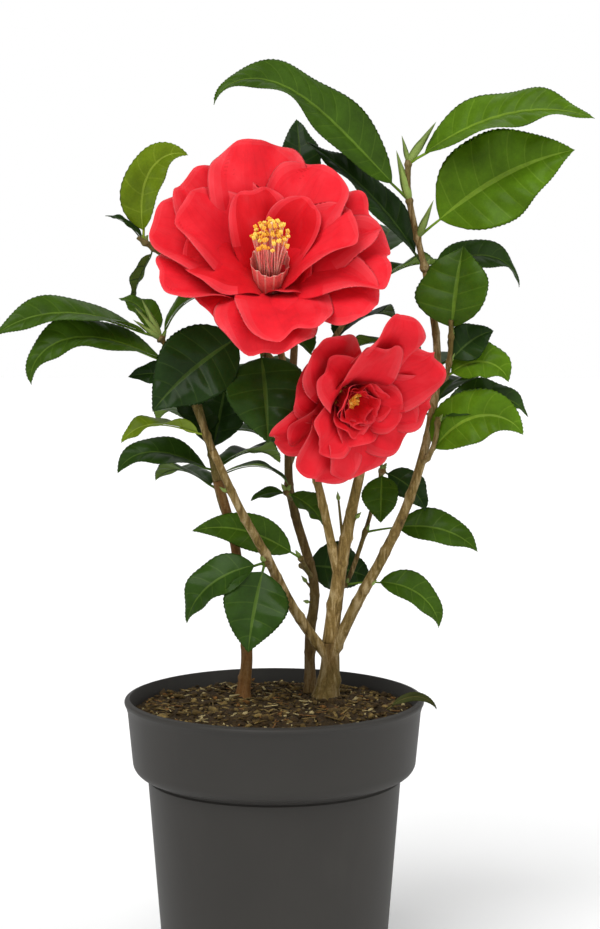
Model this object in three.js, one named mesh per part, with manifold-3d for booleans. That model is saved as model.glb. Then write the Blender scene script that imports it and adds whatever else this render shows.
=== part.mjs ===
import * as THREE from 'three';
import { mergeVertices } from 'three/addons/utils/BufferGeometryUtils.js';
import Module from 'manifold-3d';

// A camellia in a plastic nursery pot. Millimetres, +Z up, the front is -Y and the right is +X.
// The origin is the centre of the pot's flat underside. Angles are in degrees: a heading is
// measured round from +X, so 90 points to the back and 270 to the front, and a rise is
// measured up from level.

const wasm = await Module();
wasm.setup();

const clearance = 0.3;
const fineness = 0.15;
const limbSides = 8;
const twigSides = 6;

const pot = {
  height: 145,
  rimRadius: 75,
  collarDepth: 39,
  collarFootRadius: 71,
  collarRound: 7,
  bodyRadius: 63.5,
  footRadius: 55.5,
  footRound: 2,
  wall: 1.6,
  floor: 2.2,
  lip: 1.1,
  drainHoles: 8,
  drainRadius: 4.5,
  drainCircle: 38,
  sides: 36,
};

const soil = {
  edgeLevel: 136.5,
  crownLevel: 140.7,
  crownRadius: 44,
  bump: 1.3,
  bumpPitch: 13,
  footPatch: 17,
  sides: 30,
  rings: 7,
};

// limbs: the path of the middle line, and the radius at its two ends
const limbs = {
  trunk: {
    path: [[26, 15, 141], [28, 14, 157], [28, 13, 170]],
    radii: [5.4, 4.2],
    flare: 0.45,
  },
  stem_back: {
    path: [[18, 28, 141], [18, 30, 170], [20, 30, 197], [10, 30, 234], [7, 30, 259], [10, 33, 318]],
    radii: [2.8, 1.9],
    flare: 0.5,
  },
  stem_left: {
    path: [[-16, 15, 141], [-14, 15, 164], [-17, 17, 192], [-20, 16, 220], [-28, 8, 253]],
    radii: [3.1, 2.2],
    flare: 0.5,
  },
  bough_centre: {
    path: [[28, 13, 170], [33, 10, 208], [38, 10, 234], [44, 8, 262]],
    radii: [4.0, 2.3],
  },
  bough_left: {
    path: [[27, 13, 162], [10, 5, 188], [-4, -5, 217], [-17, -12, 242], [-30, -15, 271]],
    radii: [2.7, 1.9],
  },
  bough_right: {
    path: [
      [28, 13, 161], [41, 8, 190], [55, 2, 217], [68, 0, 247], [78, 4, 284], [81, 12, 318], [75, 10, 357],
    ],
    radii: [3.0, 1.7],
  },
  bough_centre_left: {
    path: [[32, 10, 203], [25, 4, 238], [20, 4, 258], [14, 4, 280], [6, 2, 304]],
    radii: [2.3, 1.7],
  },
};

// Sprays: the path of the stem, its radius at its two ends, its leaves from the list below, and
// the leaves that the sowing rule adds. A row of leaves is
// [at, heading, rise, length, droop, roll, twist, width, bend]:
// how far along the stem it leaves, its heading and rise there, its length in mm, how far its
// tip has bent down, how it is rolled about its midrib at its foot and how much more at its tip,
// its width as a share of its length, and how late along it the bend comes.
const sprays = {
  spray_right_top: {
    path: [[75, 10, 357], [69, 8, 381], [66, 6, 397], [66, 6, 412]],
    radii: [1.6, 1.5],
    leaves: [
      [0.95, 350, 35, 98, 55, 30, 5, 0.4, 1.6],
      [0.22, 350, 41, 90, 30, 75, 0, 0.64, 1.6, 0.16],
      [0.55, 195, 45, 126, 120, -68, 45, 0.31, 4.5],
      [0.02, 25, 15, 62, 100, 45, 0, 0.34, 2.6],
      [0.03, 180, 58, 86, 26, -32, 0, 0.34, 1.2],
    ],
    buds: [[0.98, 200, 75, 14], [0.98, 0, 55, 25], [0.55, 190, 75, 27], [0.22, 330, 65, 22]],
  },
  spray_right_mid: {
    path: [[80, 8, 300], [85, 1, 306], [87, -3, 320], [87, -4, 334]],
    radii: [1.4, 1.2],
    leaves: [
      [0.8, 60, 78, 46, 10, 0, 0, 1.0, 1.6],
      [0.5, 10, 50, 28, 40, 60, 0, 0.8, 1.6],
      [0.3, 350, 40, 38, 115, 50, 0, 0.7, 1.6],
    ],
  },
  spray_right_low: {
    path: [[72, 1, 261], [77, -2, 267], [80, -4, 276], [81, -4, 286]],
    radii: [1.4, 1.2],
    leaves: [
      [0.25, 345, 55, 60, 115, 65, 0, 0.55, 1.8],
      [0.9, 14, 40, 54, 100, 45, 0, 0.42, 1.6],
    ],
  },
  spray_low_right: {
    path: [[32, 11, 196], [38, 18, 203], [47, 26, 228], [55, 26, 258]],
    radii: [1.3, 1.0],
    leaves: [
      [0.2, 355, 9, 59, 95, 45, 0, 0.46, 1.8, 0.3],
      [0.62, 350, 12, 61, 62, 50, 0, 0.46, 2, 0.28],
      [0.97, 265, -62, 27, 20, 10, 0, 0.8, 1.6],
      [0.97, 345, -22, 31, 50, 50, 0, 0.6, 1.6],
    ],
  },
  spray_left: {
    path: [[-30, -15, 271], [-41, -15, 299], [-48, -14, 315], [-56, -12, 327]],
    radii: [1.8, 1.2],
    leaves: [
      [0.95, 190, 24, 86, 62, 20, -85, 0.33, 1.8],
      [0.6, 190, 24, 88, 125, -5, -50, 0.34, 2.8],
      [0.97, 150, 60, 32, 60, -20, 0, 0.55, 1.6],
      [0.5, 175, 5, 27, 20, -60, 0, 0.5, 1.6],
      [0.95, 350, 75, 48, 100, 20, 0, 0.4, 1.2],
      [0.08, 185, 22, 46, 80, 60, -125, 0.42, 2],
    ],
    buds: [[0.98, 150, 60, 22], [0.98, 180, 50, 20], [0.95, 190, 35, 18]],
  },
  spray_left_low: {
    path: [[-28, 8, 253], [-33, 6, 274], [-37, 6, 291]],
    radii: [2.0, 1.2],
    leaves: [
      [0.1, 185, 25, 55, 95, -10, -45, 0.42, 2.6],
      [0.3, 60, 65, 42, -10, 0, 0, 0.85, 1.6],
      [0.5, 130, 60, 34, 20, 0, 0, 0.9, 1.6],
      [0.05, 350, 28, 41, 90, 0, 0, 0.3, 1.6],
    ],
  },
  spray_low_left: {
    path: [[-1, -3, 212], [-3, -8, 214], [-5, -10, 214]],
    radii: [1.2, 1.1],
    leaves: [
      [0.9, 190, -10, 52, 70, -50, 15, 0.5, 1.6],
      [0.9, 245, -58, 46, 20, -30, 0, 0.8, 1.6],
    ],
  },
  spray_low_centre: {
    path: [[19, 30, 200], [16, 22, 206], [13, 14, 213]],
    radii: [1.3, 1.1],
    leaves: [
      [0.95, 193, 35, 60, 50, -75, 0, 0.35, 1.6],
    ],
  },
  spray_centre: {
    path: [[14, 4, 279], [6, 2, 297], [-4, -4, 316], [-14, -8, 330]],
    radii: [1.4, 1.1],
    leaves: [
      [0.97, 200, -30, 62, 20, -65, 0, 0.7, 1.6],
      [0.75, 280, -50, 50, 35, 10, 0, 0.9, 1.6],
    ],
  },
  spray_upper_left: {
    path: [[9, 32, 299], [-14, 28, 326], [-42, 18, 354], [-67, 6, 374]],
    radii: [1.6, 1.1],
    leaves: [
      [0.96, 350, 95, 58, 118, 62, 0, 0.5, 2.4],
      [0.95, 180, 55, 25, 55, -20, 0, 0.32, 1.6],
      [0.9, 200, -60, 30, 20, 40, 0, 0.5, 1.6],
    ],
  },
  spray_low_back: {
    path: [[19, 30, 200], [16, 36, 203], [13, 40, 205]],
    radii: [1.3, 1.1],
    leaves: [
      [0.9, 5, -2, 37, 25, 60, 0, 0.8, 1.6],
    ],
  },
  spray_mid_back: {
    path: [[9, 30, 240], [7, 23, 243], [6, 17, 246]],
    radii: [1.2, 1.0],
    leaves: [
      [0.9, 200, 5, 20, 40, -30, 0, 0.45, 1.6],
      [0.95, 345, -25, 26, 40, 20, 0, 0.8, 1.6],
    ],
  },
  spray_back_top: {
    path: [[10, 33, 318], [13, 36, 361], [14, 34, 392]],
    radii: [1.7, 1.2],
    leaves: [
      [0.95, 100, 80, 46, 30, 0, 0, 0.5, 1.6],
    ],
    sown: { count: 7, from: 0.15, to: 0.95, heading: 90, length: 66, rise: 35 },
  },
  spray_back_right: {
    path: [[9, 32, 288], [24, 42, 312], [42, 50, 338], [56, 54, 362]],
    radii: [1.6, 1.1],
    leaves: [],
    sown: { count: 7, from: 0.3, to: 0.97, heading: 90, length: 60, rise: 35 },
  },
  spray_back_low: {
    path: [[7, 30, 256], [10, 44, 264], [13, 58, 278], [14, 66, 296]],
    radii: [1.5, 1.1],
    leaves: [],
    sown: { count: 6, from: 0.3, to: 0.97, heading: 90, length: 60, rise: 25 },
  },
  spray_back_left: {
    path: [[-20, 16, 222], [-28, 34, 240], [-33, 46, 262], [-36, 52, 284]],
    radii: [1.5, 1.1],
    leaves: [],
    sown: { count: 5, from: 0.4, to: 0.97, heading: 85, length: 56, rise: 25 },
  },
  spray_far_right: {
    path: [[75, 3, 270], [79, 20, 280], [80, 36, 294], [78, 46, 312]],
    radii: [1.5, 1.1],
    leaves: [],
    sown: { count: 6, from: 0.4, to: 0.97, heading: 95, length: 56, rise: 25 },
  },
};

// Blooms: the path and radii of the stalk, the way the bloom faces, the radius of its heart, the
// radius of the core that its petals close over, and the length and radii of its stamen column.
// A row of petals is [turn, length, open at its foot, open at its tip, width, cup]:
// its turn clockwise from the top as seen from the front of the bloom, its length in mm, how far
// it leans away from the axis at its foot and at its tip, its width, and how much it is cupped.
const blooms = {
  bloom_upper: {
    path: [[6, 2, 304], [2, -8, 326], [-2, -22, 348]],
    radii: [1.6, 2.2],
    axis: [0.02, -0.73, 0.68],
    heart: 5,
    core: 12,
    column: 42,
    columnRadii: [4, 7],
    petals: [
      [352, 76, 20, 80, 60, 35],
      [64, 67, 22, 88, 54, 35],
      [92, 68, 22, 95, 60, 35],
      [122, 65, 25, 95, 46, 40],
      [184, 59, 25, 100, 60, 40],
      [236, 44, 25, 95, 46, 40],
      [260, 63, 22, 95, 46, 35],
      [288, 70, 22, 88, 52, 35],
      [316, 71, 20, 82, 52, 35],
      [34, 69, 15, 68, 54, 45],
      [296, 65, 15, 68, 52, 50],
      [264, 53, 15, 80, 46, 50],
      [168, 62, 18, 88, 56, 45],
      [80, 63, 12, 60, 46, 60],
      [344, 54, 10, 50, 40, 55],
      [44, 54, 8, 45, 34, 70],
      [120, 32, 8, 60, 34, 60],
    ],
  },
  bloom_lower: {
    path: [[44, 8, 262], [38, 0, 282], [30, -12, 301]],
    radii: [1.8, 2.2],
    axis: [0.5, -0.8, -0.3],
    heart: 4,
    core: 9,
    column: 26,
    columnRadii: [3.5, 6],
    petals: [
      [3, 71, 20, 75, 40, 45],
      [48, 58, 20, 70, 42, 40],
      [84, 49, 20, 75, 40, 40],
      [116, 43, 20, 70, 44, 40],
      [176, 46, 20, 80, 42, 45],
      [208, 50, 22, 95, 44, 40],
      [224, 40, 25, 110, 40, 40],
      [288, 34, 25, 105, 42, 40],
      [320, 48, 22, 100, 44, 40],
      [236, 46, 30, 125, 30, 40],
      [352, 58, 15, 65, 40, 50],
      [176, 34, 8, 45, 34, 60],
      [232, 41, 12, 70, 36, 60],
      [92, 37, 10, 45, 34, 60],
      [316, 46, 14, 80, 36, 60],
    ],
  },
};

// the sowing rule: each leaf stands a golden angle round from the last, folded to the far side
const sowing = {
  goldenAngle: 137.5,
  spread: 50,
  jitter: 14,
  lengthJitter: 0.2,
  droop: 60,
  width: 0.46,
  bend: 1.6,
  seed: 7,
};

const radians = THREE.MathUtils.degToRad;

function curveOf(path) {
  const points = path.map(([x, y, z]) => new THREE.Vector3(x, y, z));
  return new THREE.CatmullRomCurve3(points, false, 'catmullrom', 0.5);
}

function solidOf(geometry) {
  geometry.deleteAttribute('normal');
  geometry.deleteAttribute('uv');
  const merged = mergeVertices(geometry, 1e-4);
  return new wasm.Manifold(new wasm.Mesh({
    numProp: 3,
    vertProperties: new Float32Array(merged.attributes.position.array),
    triVerts: new Uint32Array(merged.index.array),
  }));
}

function reshape(geometry, place) {
  const position = geometry.attributes.position;
  const point = new THREE.Vector3();
  for (let i = 0; i < position.count; i++) {
    point.fromBufferAttribute(position, i);
    place(point);
    position.setXYZ(i, point.x, point.y, point.z);
  }
  return geometry;
}

// a round limb along a curve: one with a flare swells at its foot and is cut level there,
// and grow gives the room that a limb needs
function limbSolid({ path, radii, flare = 0 }, sides, grow = 0) {
  const curve = curveOf(path);
  const length = curve.getLength();
  const rows = Math.max(3, Math.round(length / 12));
  const front = new THREE.Vector3(0, -1, 0);
  const geometry = new THREE.CylinderGeometry(1, 1, 1, sides, rows);
  reshape(geometry, (point) => {
    const t = point.y + 0.5;
    const along = curve.getTangent(t);
    const side = new THREE.Vector3().crossVectors(front, along).normalize();
    const face = new THREE.Vector3().crossVectors(side, along);
    const swell = 1 + flare * Math.exp(-t * length / 5);
    const radius = (radii[0] + (radii[1] - radii[0]) * t) * swell + grow;
    const end = t < 1e-6 ? -grow : (t > 1 - 1e-6 ? grow : 0);
    const place = curve.getPoint(t)
      .addScaledVector(along, end)
      .addScaledVector(side, point.x * radius)
      .addScaledVector(face, point.z * radius);
    point.copy(place);
    if (flare > 0 && t < 1e-6) {
      point.z = path[0][2] - grow;
    }
  });
  return solidOf(geometry);
}

// the faces of a blade before it is shaped: a sphere whose two sides are split into triangles
// along the same lines, so that they stay apart where the blade twists
function bladeGeometry(around, rows) {
  const geometry = new THREE.SphereGeometry(1, around, rows);
  const corners = [];
  for (let row = 0; row < rows; row++) {
    for (let k = 0; k < around; k++) {
      const b = row * (around + 1) + k;
      const a = b + 1;
      const c = b + around + 1;
      const d = c + 1;
      if (row === 0) {
        corners.push(b, c, d);
      } else if (row === rows - 1) {
        corners.push(a, b, d);
      } else if (k < around / 2) {
        corners.push(a, b, d, b, c, d);
      } else {
        corners.push(a, b, c, a, c, d);
      }
    }
  }
  geometry.setIndex(corners);
  return geometry;
}

// a leaf: a folded blade on a short stalk, bending down along its midrib
const leafShape = { stalkRadius: 0.8, fold: 14, thick: 0.011, around: 4, rows: 7, twistPerRow: 11, steps: 48 };

function leafOutline(s, stalk) {
  const q = (s - stalk) / (1 - stalk);
  if (q <= 0) {
    return 0;
  }
  const widest = 0.41;
  const level = (x) => x ** 0.8 * (1 - x) ** 1.15;
  return level(q) / level(widest);
}

function leafSolid(root, [, heading, rise, length, droop, roll, twist, width, bend, stalk = 0.1]) {
  const turn = radians(heading);
  const angle = (s) => radians(rise - droop * s ** bend);
  const line = [root.clone()];
  for (let k = 0; k < leafShape.steps; k++) {
    const e = angle((k + 0.5) / leafShape.steps);
    const step = new THREE.Vector3(Math.cos(e) * Math.cos(turn), Math.cos(e) * Math.sin(turn), Math.sin(e));
    line.push(line[k].clone().addScaledVector(step, length / leafShape.steps));
  }
  const rows = leafShape.rows + Math.ceil(Math.abs(twist) / leafShape.twistPerRow);
  return solidOf(reshape(bladeGeometry(leafShape.around, rows), (point) => {
    const s = (1 - point.y) / 2;
    const ring = Math.sqrt(Math.max(0, 1 - point.y ** 2));
    const across = ring > 1e-6 ? point.x / ring : 0;
    const through = ring > 1e-6 ? point.z / ring : 0;
    const e = angle(s);
    const up = new THREE.Vector3(-Math.sin(e) * Math.cos(turn), -Math.sin(e) * Math.sin(turn), Math.cos(e));
    const side = new THREE.Vector3(-Math.sin(turn), Math.cos(turn), 0);
    const r = radians(roll + twist * s);
    const wide = side.clone().multiplyScalar(Math.cos(r)).addScaledVector(up, Math.sin(r));
    const face = up.clone().multiplyScalar(Math.cos(r)).addScaledVector(side, -Math.sin(r));
    const reach = width * length * (1 - stalk) / 2;
    const half = Math.max(leafOutline(s, stalk) * reach, s < 0.9 ? leafShape.stalkRadius : 0);
    const thick = Math.max(leafShape.thick * length / 2, s < 0.2 ? leafShape.stalkRadius : 0.5);
    const step = Math.min(s * leafShape.steps, leafShape.steps - 1e-6);
    const base = Math.floor(step);
    const fold = radians(leafShape.fold);
    point.copy(line[base]).lerp(line[base + 1], step - base)
      .addScaledVector(wide, across * half * Math.cos(fold))
      .addScaledVector(face, Math.abs(across) * half * Math.sin(fold) + through * thick);
  }));
}

// a bud: a slim pointed spindle
function budSolid(root, [, heading, rise, length]) {
  const turn = radians(heading);
  const e = radians(rise);
  const along = new THREE.Vector3(Math.cos(e) * Math.cos(turn), Math.cos(e) * Math.sin(turn), Math.sin(e));
  const geometry = new THREE.SphereGeometry(1, 5, 5);
  geometry.scale(length * 0.09, length * 0.5, length * 0.09);
  geometry.translate(0, length * 0.46, 0);
  geometry.applyQuaternion(new THREE.Quaternion().setFromUnitVectors(new THREE.Vector3(0, 1, 0), along));
  geometry.translate(root.x, root.y, root.z);
  return solidOf(geometry);
}

// a petal: a cupped blade that opens away from the bloom's axis along its length
const petalShape = { thick: 0.6, rows: 5, around: 6, steps: 40 };

function petalSolid(bloom, heartPoint, [turn, length, openFoot, openTip, width, cup]) {
  const axis = new THREE.Vector3(...bloom.axis).normalize();
  const level = new THREE.Vector3(0, 0, 1).addScaledVector(axis, -axis.z).normalize();
  const out = level.applyAxisAngle(axis, radians(-turn));
  const side = new THREE.Vector3().crossVectors(axis, out);
  const open = (s) => radians(openFoot + (openTip - openFoot) * s ** 0.8);
  const line = [heartPoint.clone().addScaledVector(out, bloom.heart * 0.5)];
  for (let k = 0; k < petalShape.steps; k++) {
    const a = open((k + 0.5) / petalShape.steps);
    const step = axis.clone().multiplyScalar(Math.cos(a)).addScaledVector(out, Math.sin(a));
    line.push(line[k].clone().addScaledVector(step, length / petalShape.steps));
  }
  return solidOf(reshape(bladeGeometry(petalShape.around, petalShape.rows), (point) => {
    const s = (1 - point.y) / 2;
    const ring = Math.sqrt(Math.max(0, 1 - point.y ** 2));
    const across = ring > 1e-6 ? point.x / ring : 0;
    const through = ring > 1e-6 ? point.z / ring : 0;
    const a = open(s);
    const face = axis.clone().multiplyScalar(Math.sin(a)).addScaledVector(out, -Math.cos(a));
    const outline = s ** 0.55 * Math.sqrt(Math.max(0, 1 - s ** 3.2)) / 0.8;
    const half = width / 2 * Math.max(outline, s < 0.5 ? 0.08 : 0);
    const curl = width / 2 / radians(cup * (1 - 0.45 * s));
    const arc = across * half / curl;
    const step = Math.min(s * petalShape.steps, petalShape.steps - 1e-6);
    const base = Math.floor(step);
    point.copy(line[base]).lerp(line[base + 1], step - base)
      .addScaledVector(side, curl * Math.sin(arc))
      .addScaledVector(face, curl * (1 - Math.cos(arc)) + through * petalShape.thick);
  }));
}

// lathe profiles are lists of [radius, height]
function lathe(profile, sides) {
  const points = profile.map(([r, z]) => new THREE.Vector2(r, z));
  const geometry = new THREE.LatheGeometry(points, sides);
  geometry.rotateX(Math.PI / 2);
  return geometry;
}

function collarLine(inset) {
  const bottom = pot.height - pot.collarDepth;
  const radius = pot.collarFootRadius - inset;
  const round = pot.collarRound;
  const lines = [];
  for (let k = 0; k <= 3; k++) {
    const a = k / 3 * Math.PI / 2;
    lines.push([radius - round * (1 - Math.cos(a)), bottom + inset * 0.6 + round * (1 - Math.sin(a))]);
  }
  return lines;
}

const innerBody = pot.bodyRadius - pot.wall;
const innerFoot = pot.footRadius - pot.wall;

function potSolid() {
  const { height, rimRadius, footRadius, footRound, bodyRadius, collarDepth, lip, wall, floor } = pot;
  const profile = [
    [0, 0],
    [footRadius - footRound, 0],
    [footRadius, footRound],
    [bodyRadius, height - collarDepth],
    ...collarLine(0).reverse(),
    [rimRadius - lip * 0.6, height - 3 * lip],
    [rimRadius, height - 2 * lip],
    [rimRadius - lip * 0.3, height - lip * 0.4],
    [rimRadius - lip, height],
    [rimRadius - lip - 0.9, height - lip],
    ...collarLine(wall),
    [innerBody, height - collarDepth],
    [innerFoot, floor],
    [0, floor],
  ];
  let solid = solidOf(lathe(profile, pot.sides));
  for (let k = 0; k < pot.drainHoles; k++) {
    const hole = new THREE.CylinderGeometry(pot.drainRadius, pot.drainRadius, 4 * floor, 10);
    const a = (k + 0.5) / pot.drainHoles * 2 * Math.PI;
    hole.rotateX(Math.PI / 2);
    hole.translate(pot.drainCircle * Math.cos(a), pot.drainCircle * Math.sin(a), 0);
    solid = solid.subtract(solidOf(hole));
  }
  return solid;
}

// the soil's top is a low mound, flat where a stem stands on it
function soilTop(x, y) {
  const r = Math.hypot(x, y);
  const { edgeLevel, crownLevel, crownRadius, bump, bumpPitch, footPatch } = soil;
  const slope = THREE.MathUtils.smoothstep(r, crownRadius, pot.rimRadius);
  const mound = crownLevel + (edgeLevel - crownLevel) * slope;
  const feet = [limbs.trunk, limbs.stem_back, limbs.stem_left].map(({ path }) => path[0]);
  const nearest = Math.min(...feet.map(([fx, fy]) => Math.hypot(x - fx, y - fy)));
  const away = THREE.MathUtils.smoothstep(nearest, footPatch, 1.6 * footPatch);
  const swell = Math.sin(x * 6 / bumpPitch + 1) * Math.cos(y * 5 / bumpPitch);
  const ripple = Math.sin((x + y) * 9 / bumpPitch);
  return mound + bump / 2 * (swell + ripple) * away;
}

function soilSolid() {
  const { height, collarDepth, floor, collarRound, collarFootRadius, rimRadius } = pot;
  const gap = clearance;
  const collarTop = height - collarDepth + collarRound + 1.5;
  const climb = (soil.edgeLevel - collarTop) / (height - collarTop);
  const edge = collarFootRadius + (rimRadius - pot.lip - collarFootRadius) * climb - pot.wall - gap;
  const profile = [
    [0, floor + gap],
    [innerFoot - gap, floor + gap],
    [innerBody - gap, height - collarDepth],
    ...collarLine(pot.wall + gap * 1.4).reverse(),
    [edge, soil.edgeLevel - 1.5],
  ];
  for (let k = 0; k < soil.rings; k++) {
    profile.push([edge * (1 - k / soil.rings) - (k ? 0 : 0.4), soil.edgeLevel]);
  }
  profile.push([0, soil.edgeLevel]);
  return solidOf(reshape(lathe(profile, soil.sides), (point) => {
    if (point.z > soil.edgeLevel - 0.01) {
      point.z = soilTop(point.x, point.y);
    }
  }));
}

const colours = {
  pot: { color: 0x3c3b38, roughness: 0.6, metalness: 0 },
  soil: { color: 0x4a3424, roughness: 1, metalness: 0 },
  bark: { color: 0x8a7350, roughness: 0.85, metalness: 0 },
  leaf: { color: 0x2f5a26, roughness: 0.35, metalness: 0 },
  petal: { color: 0xe0242c, roughness: 0.6, metalness: 0 },
};

const camellia = new THREE.Group();
const placed = [];

function keep(name, solid, finish) {
  const { vertProperties, triVerts } = solid.getMesh();
  const geometry = new THREE.BufferGeometry();
  geometry.setAttribute('position', new THREE.BufferAttribute(new Float32Array(vertProperties), 3));
  geometry.setIndex(new THREE.BufferAttribute(new Uint32Array(triVerts), 1));
  geometry.computeVertexNormals();
  const mesh = new THREE.Mesh(geometry, new THREE.MeshStandardMaterial(colours[finish]));
  mesh.name = name;
  camellia.add(mesh);
  placed.push(solid);
}

// the largest shell of a solid: loose scraps are dropped, and a hollow that fusing seals is filled
function largest(solid) {
  const { vertProperties, triVerts } = solid.getMesh();
  const shellOf = Array.from({ length: vertProperties.length / 3 }, (_, i) => i);
  const find = (i) => {
    while (shellOf[i] !== i) {
      shellOf[i] = shellOf[shellOf[i]];
      i = shellOf[i];
    }
    return i;
  };
  for (let k = 0; k < triVerts.length; k += 3) {
    shellOf[find(triVerts[k + 1])] = find(triVerts[k]);
    shellOf[find(triVerts[k + 2])] = find(triVerts[k]);
  }
  const shells = new Map();
  for (let k = 0; k < triVerts.length; k += 3) {
    const shell = find(triVerts[k]);
    const corners = shells.get(shell) ?? [];
    corners.push(triVerts[k], triVerts[k + 1], triVerts[k + 2]);
    shells.set(shell, corners);
  }
  const bodies = [...shells.values()].map((corners) => {
    const geometry = new THREE.BufferGeometry();
    geometry.setAttribute('position', new THREE.BufferAttribute(new Float32Array(vertProperties), 3));
    geometry.setIndex(corners);
    return solidOf(geometry.toNonIndexed());
  });
  return bodies.sort((a, b) => b.volume() - a.volume())[0];
}

let seed = sowing.seed;

function chance() {
  seed = (seed * 1664525 + 1013904223) % 4294967296;
  return seed / 4294967296 - 0.5;
}

function sow({ count, from, to, heading, length, rise }) {
  const rows = [];
  for (let k = 0; k < count; k++) {
    const at = from + (to - from) * k / (count - 1);
    const swing = sowing.spread * Math.cos(radians(k * sowing.goldenAngle));
    rows.push([
      at,
      heading + swing + sowing.jitter * chance(),
      rise + sowing.jitter * chance(),
      length * (1 + sowing.lengthJitter * chance()),
      sowing.droop + sowing.jitter * chance(),
      2 * sowing.jitter * chance(),
      0,
      sowing.width,
      sowing.bend,
    ]);
  }
  return rows;
}

function fused(parts) {
  return largest(largest(wasm.Manifold.union(parts)).simplify(fineness));
}

const rooms = [];

function clearOfLimbs(solid) {
  return largest(rooms.reduce((rest, room) => rest.subtract(room), solid));
}

function fits(solid) {
  return placed.every((other) => solid.minGap(other, 2 * clearance) >= clearance);
}

keep('pot', potSolid(), 'pot');
keep('soil', soilSolid(), 'soil');

for (const [name, limb] of Object.entries(limbs)) {
  keep(name, clearOfLimbs(limbSolid(limb, limbSides)), 'bark');
  rooms.push(limbSolid(limb, limbSides, clearance));
}

function bloomSolid(bloom) {
  const heart = new THREE.Vector3(...bloom.path.at(-1));
  const axis = new THREE.Vector3(...bloom.axis).normalize();
  const core = new THREE.SphereGeometry(bloom.core, 8, 6);
  const column = new THREE.CylinderGeometry(bloom.columnRadii[1], bloom.columnRadii[0], bloom.column, 8);
  core.translate(...heart);
  column.translate(0, bloom.column / 2, 0);
  column.applyQuaternion(new THREE.Quaternion().setFromUnitVectors(new THREE.Vector3(0, 1, 0), axis));
  column.translate(...heart);
  return fused([
    clearOfLimbs(limbSolid(bloom, twigSides)),
    solidOf(core),
    solidOf(column),
    ...bloom.petals.map((row) => petalSolid(bloom, heart, row)),
  ]);
}

// a spray's stem with its leaves and buds; one that would touch what stands already is left out
function spraySolid(spray) {
  const curve = curveOf(spray.path);
  const rows = [...spray.leaves, ...(spray.sown ? sow(spray.sown) : [])];
  const grown = [
    ...rows.map((row) => leafSolid(curve.getPoint(row[0]), row)),
    ...(spray.buds ?? []).map((row) => budSolid(curve.getPoint(row[0]), row)),
  ];
  return fused([clearOfLimbs(limbSolid(spray, twigSides)), ...grown.filter(fits)]);
}

for (const [name, bloom] of Object.entries(blooms)) {
  keep(name, bloomSolid(bloom), 'petal');
}

for (const [name, spray] of Object.entries(sprays)) {
  keep(name, spraySolid(spray), 'leaf');
}

export default camellia;
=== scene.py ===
import math
import random

import bmesh
import bpy
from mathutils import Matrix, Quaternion, Vector, noise


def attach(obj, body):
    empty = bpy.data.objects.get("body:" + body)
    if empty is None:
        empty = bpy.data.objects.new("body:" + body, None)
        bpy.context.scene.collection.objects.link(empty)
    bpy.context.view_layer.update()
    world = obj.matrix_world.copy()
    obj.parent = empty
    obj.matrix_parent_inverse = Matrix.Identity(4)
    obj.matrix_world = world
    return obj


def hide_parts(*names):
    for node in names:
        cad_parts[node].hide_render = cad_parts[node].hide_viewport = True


# A camellia in a plastic nursery pot: barked stems, leafy sprays, two blooms, peat and the pot.
# The tables are in millimetres and degrees, and mm brings them to metres. The front is -Y.

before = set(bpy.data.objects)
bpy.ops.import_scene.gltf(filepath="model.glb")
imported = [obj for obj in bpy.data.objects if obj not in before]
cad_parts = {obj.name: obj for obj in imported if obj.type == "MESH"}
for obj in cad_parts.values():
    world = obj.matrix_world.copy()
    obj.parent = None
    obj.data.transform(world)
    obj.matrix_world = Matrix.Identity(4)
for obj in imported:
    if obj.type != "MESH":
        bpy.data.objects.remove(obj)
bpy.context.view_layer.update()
print("frame loaded:", len(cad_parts), "nodes")

mm = 0.001
fullTurn = 2 * math.pi
frontWay = Vector((0, -1, 0))
upWay = Vector((0, 0, 1))
mergeGap = 2e-7
nearlyOne = 0.99999


def clamp(value, low=0.0, high=1.0):
    return min(max(value, low), high)


def smoothStep(value, low, high):
    x = clamp((value - low) / (high - low))
    return x * x * (3 - 2 * x)


def ringPoint(reach, angle, height=0.0):
    return Vector((reach * math.cos(angle), reach * math.sin(angle), height))


# the way of a heading, measured round from +X, and a rise above level
def wayOf(heading, rise):
    turn, climb = math.radians(heading), math.radians(rise)
    return Vector((math.cos(climb) * math.cos(turn), math.cos(climb) * math.sin(turn), math.sin(climb)))


# a smooth line through the points, the same one that the solids follow
def lineThrough(path):
    points = [Vector(point) * mm for point in path]
    padded = [points[0] * 2 - points[1], *points, points[-1] * 2 - points[-2]]

    def at(t):
        reach = clamp(t) * (len(points) - 1)
        k = min(int(reach), len(points) - 2)
        w = reach - k
        before, start, end, after = padded[k:k + 4]
        leave, arrive = (end - before) / 2, (after - start) / 2
        return (
            start + leave * w
            + (3 * (end - start) - 2 * leave - arrive) * w ** 2
            + (2 * (start - end) + leave + arrive) * w ** 3
        )

    return at


def lengthOf(line, steps=40):
    return sum((line((k + 1) / steps) - line(k / steps)).length for k in range(steps))


# the place s along a row of even points, and the stretch between its neighbours
def alongPoints(points, s):
    step = clamp(s, 0, nearlyOne) * (len(points) - 1)
    base = int(step)
    return points[base].lerp(points[base + 1], step - base), points[base + 1] - points[base]


# the angle of a column of corners on a shell that closes round
def columnAngle(u, sides):
    return fullTurn * (round(u * sides) % sides) / sides


# a thin blade is one closed shell, whose columns cross its upper side and come back below.
# This gives how far across a column lies, and 0.5 for the upper side or -0.5 for the lower.
def bladeColumn(u, across):
    last = len(across) - 1
    column = round(u * 2 * last)
    return (across[column], 0.5) if column <= last else (across[2 * last - column], -0.5)


def paintFrom(bm, start, slot):
    bm.faces.ensure_lookup_table()
    for face in bm.faces[start:]:
        face.material_index = slot


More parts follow.
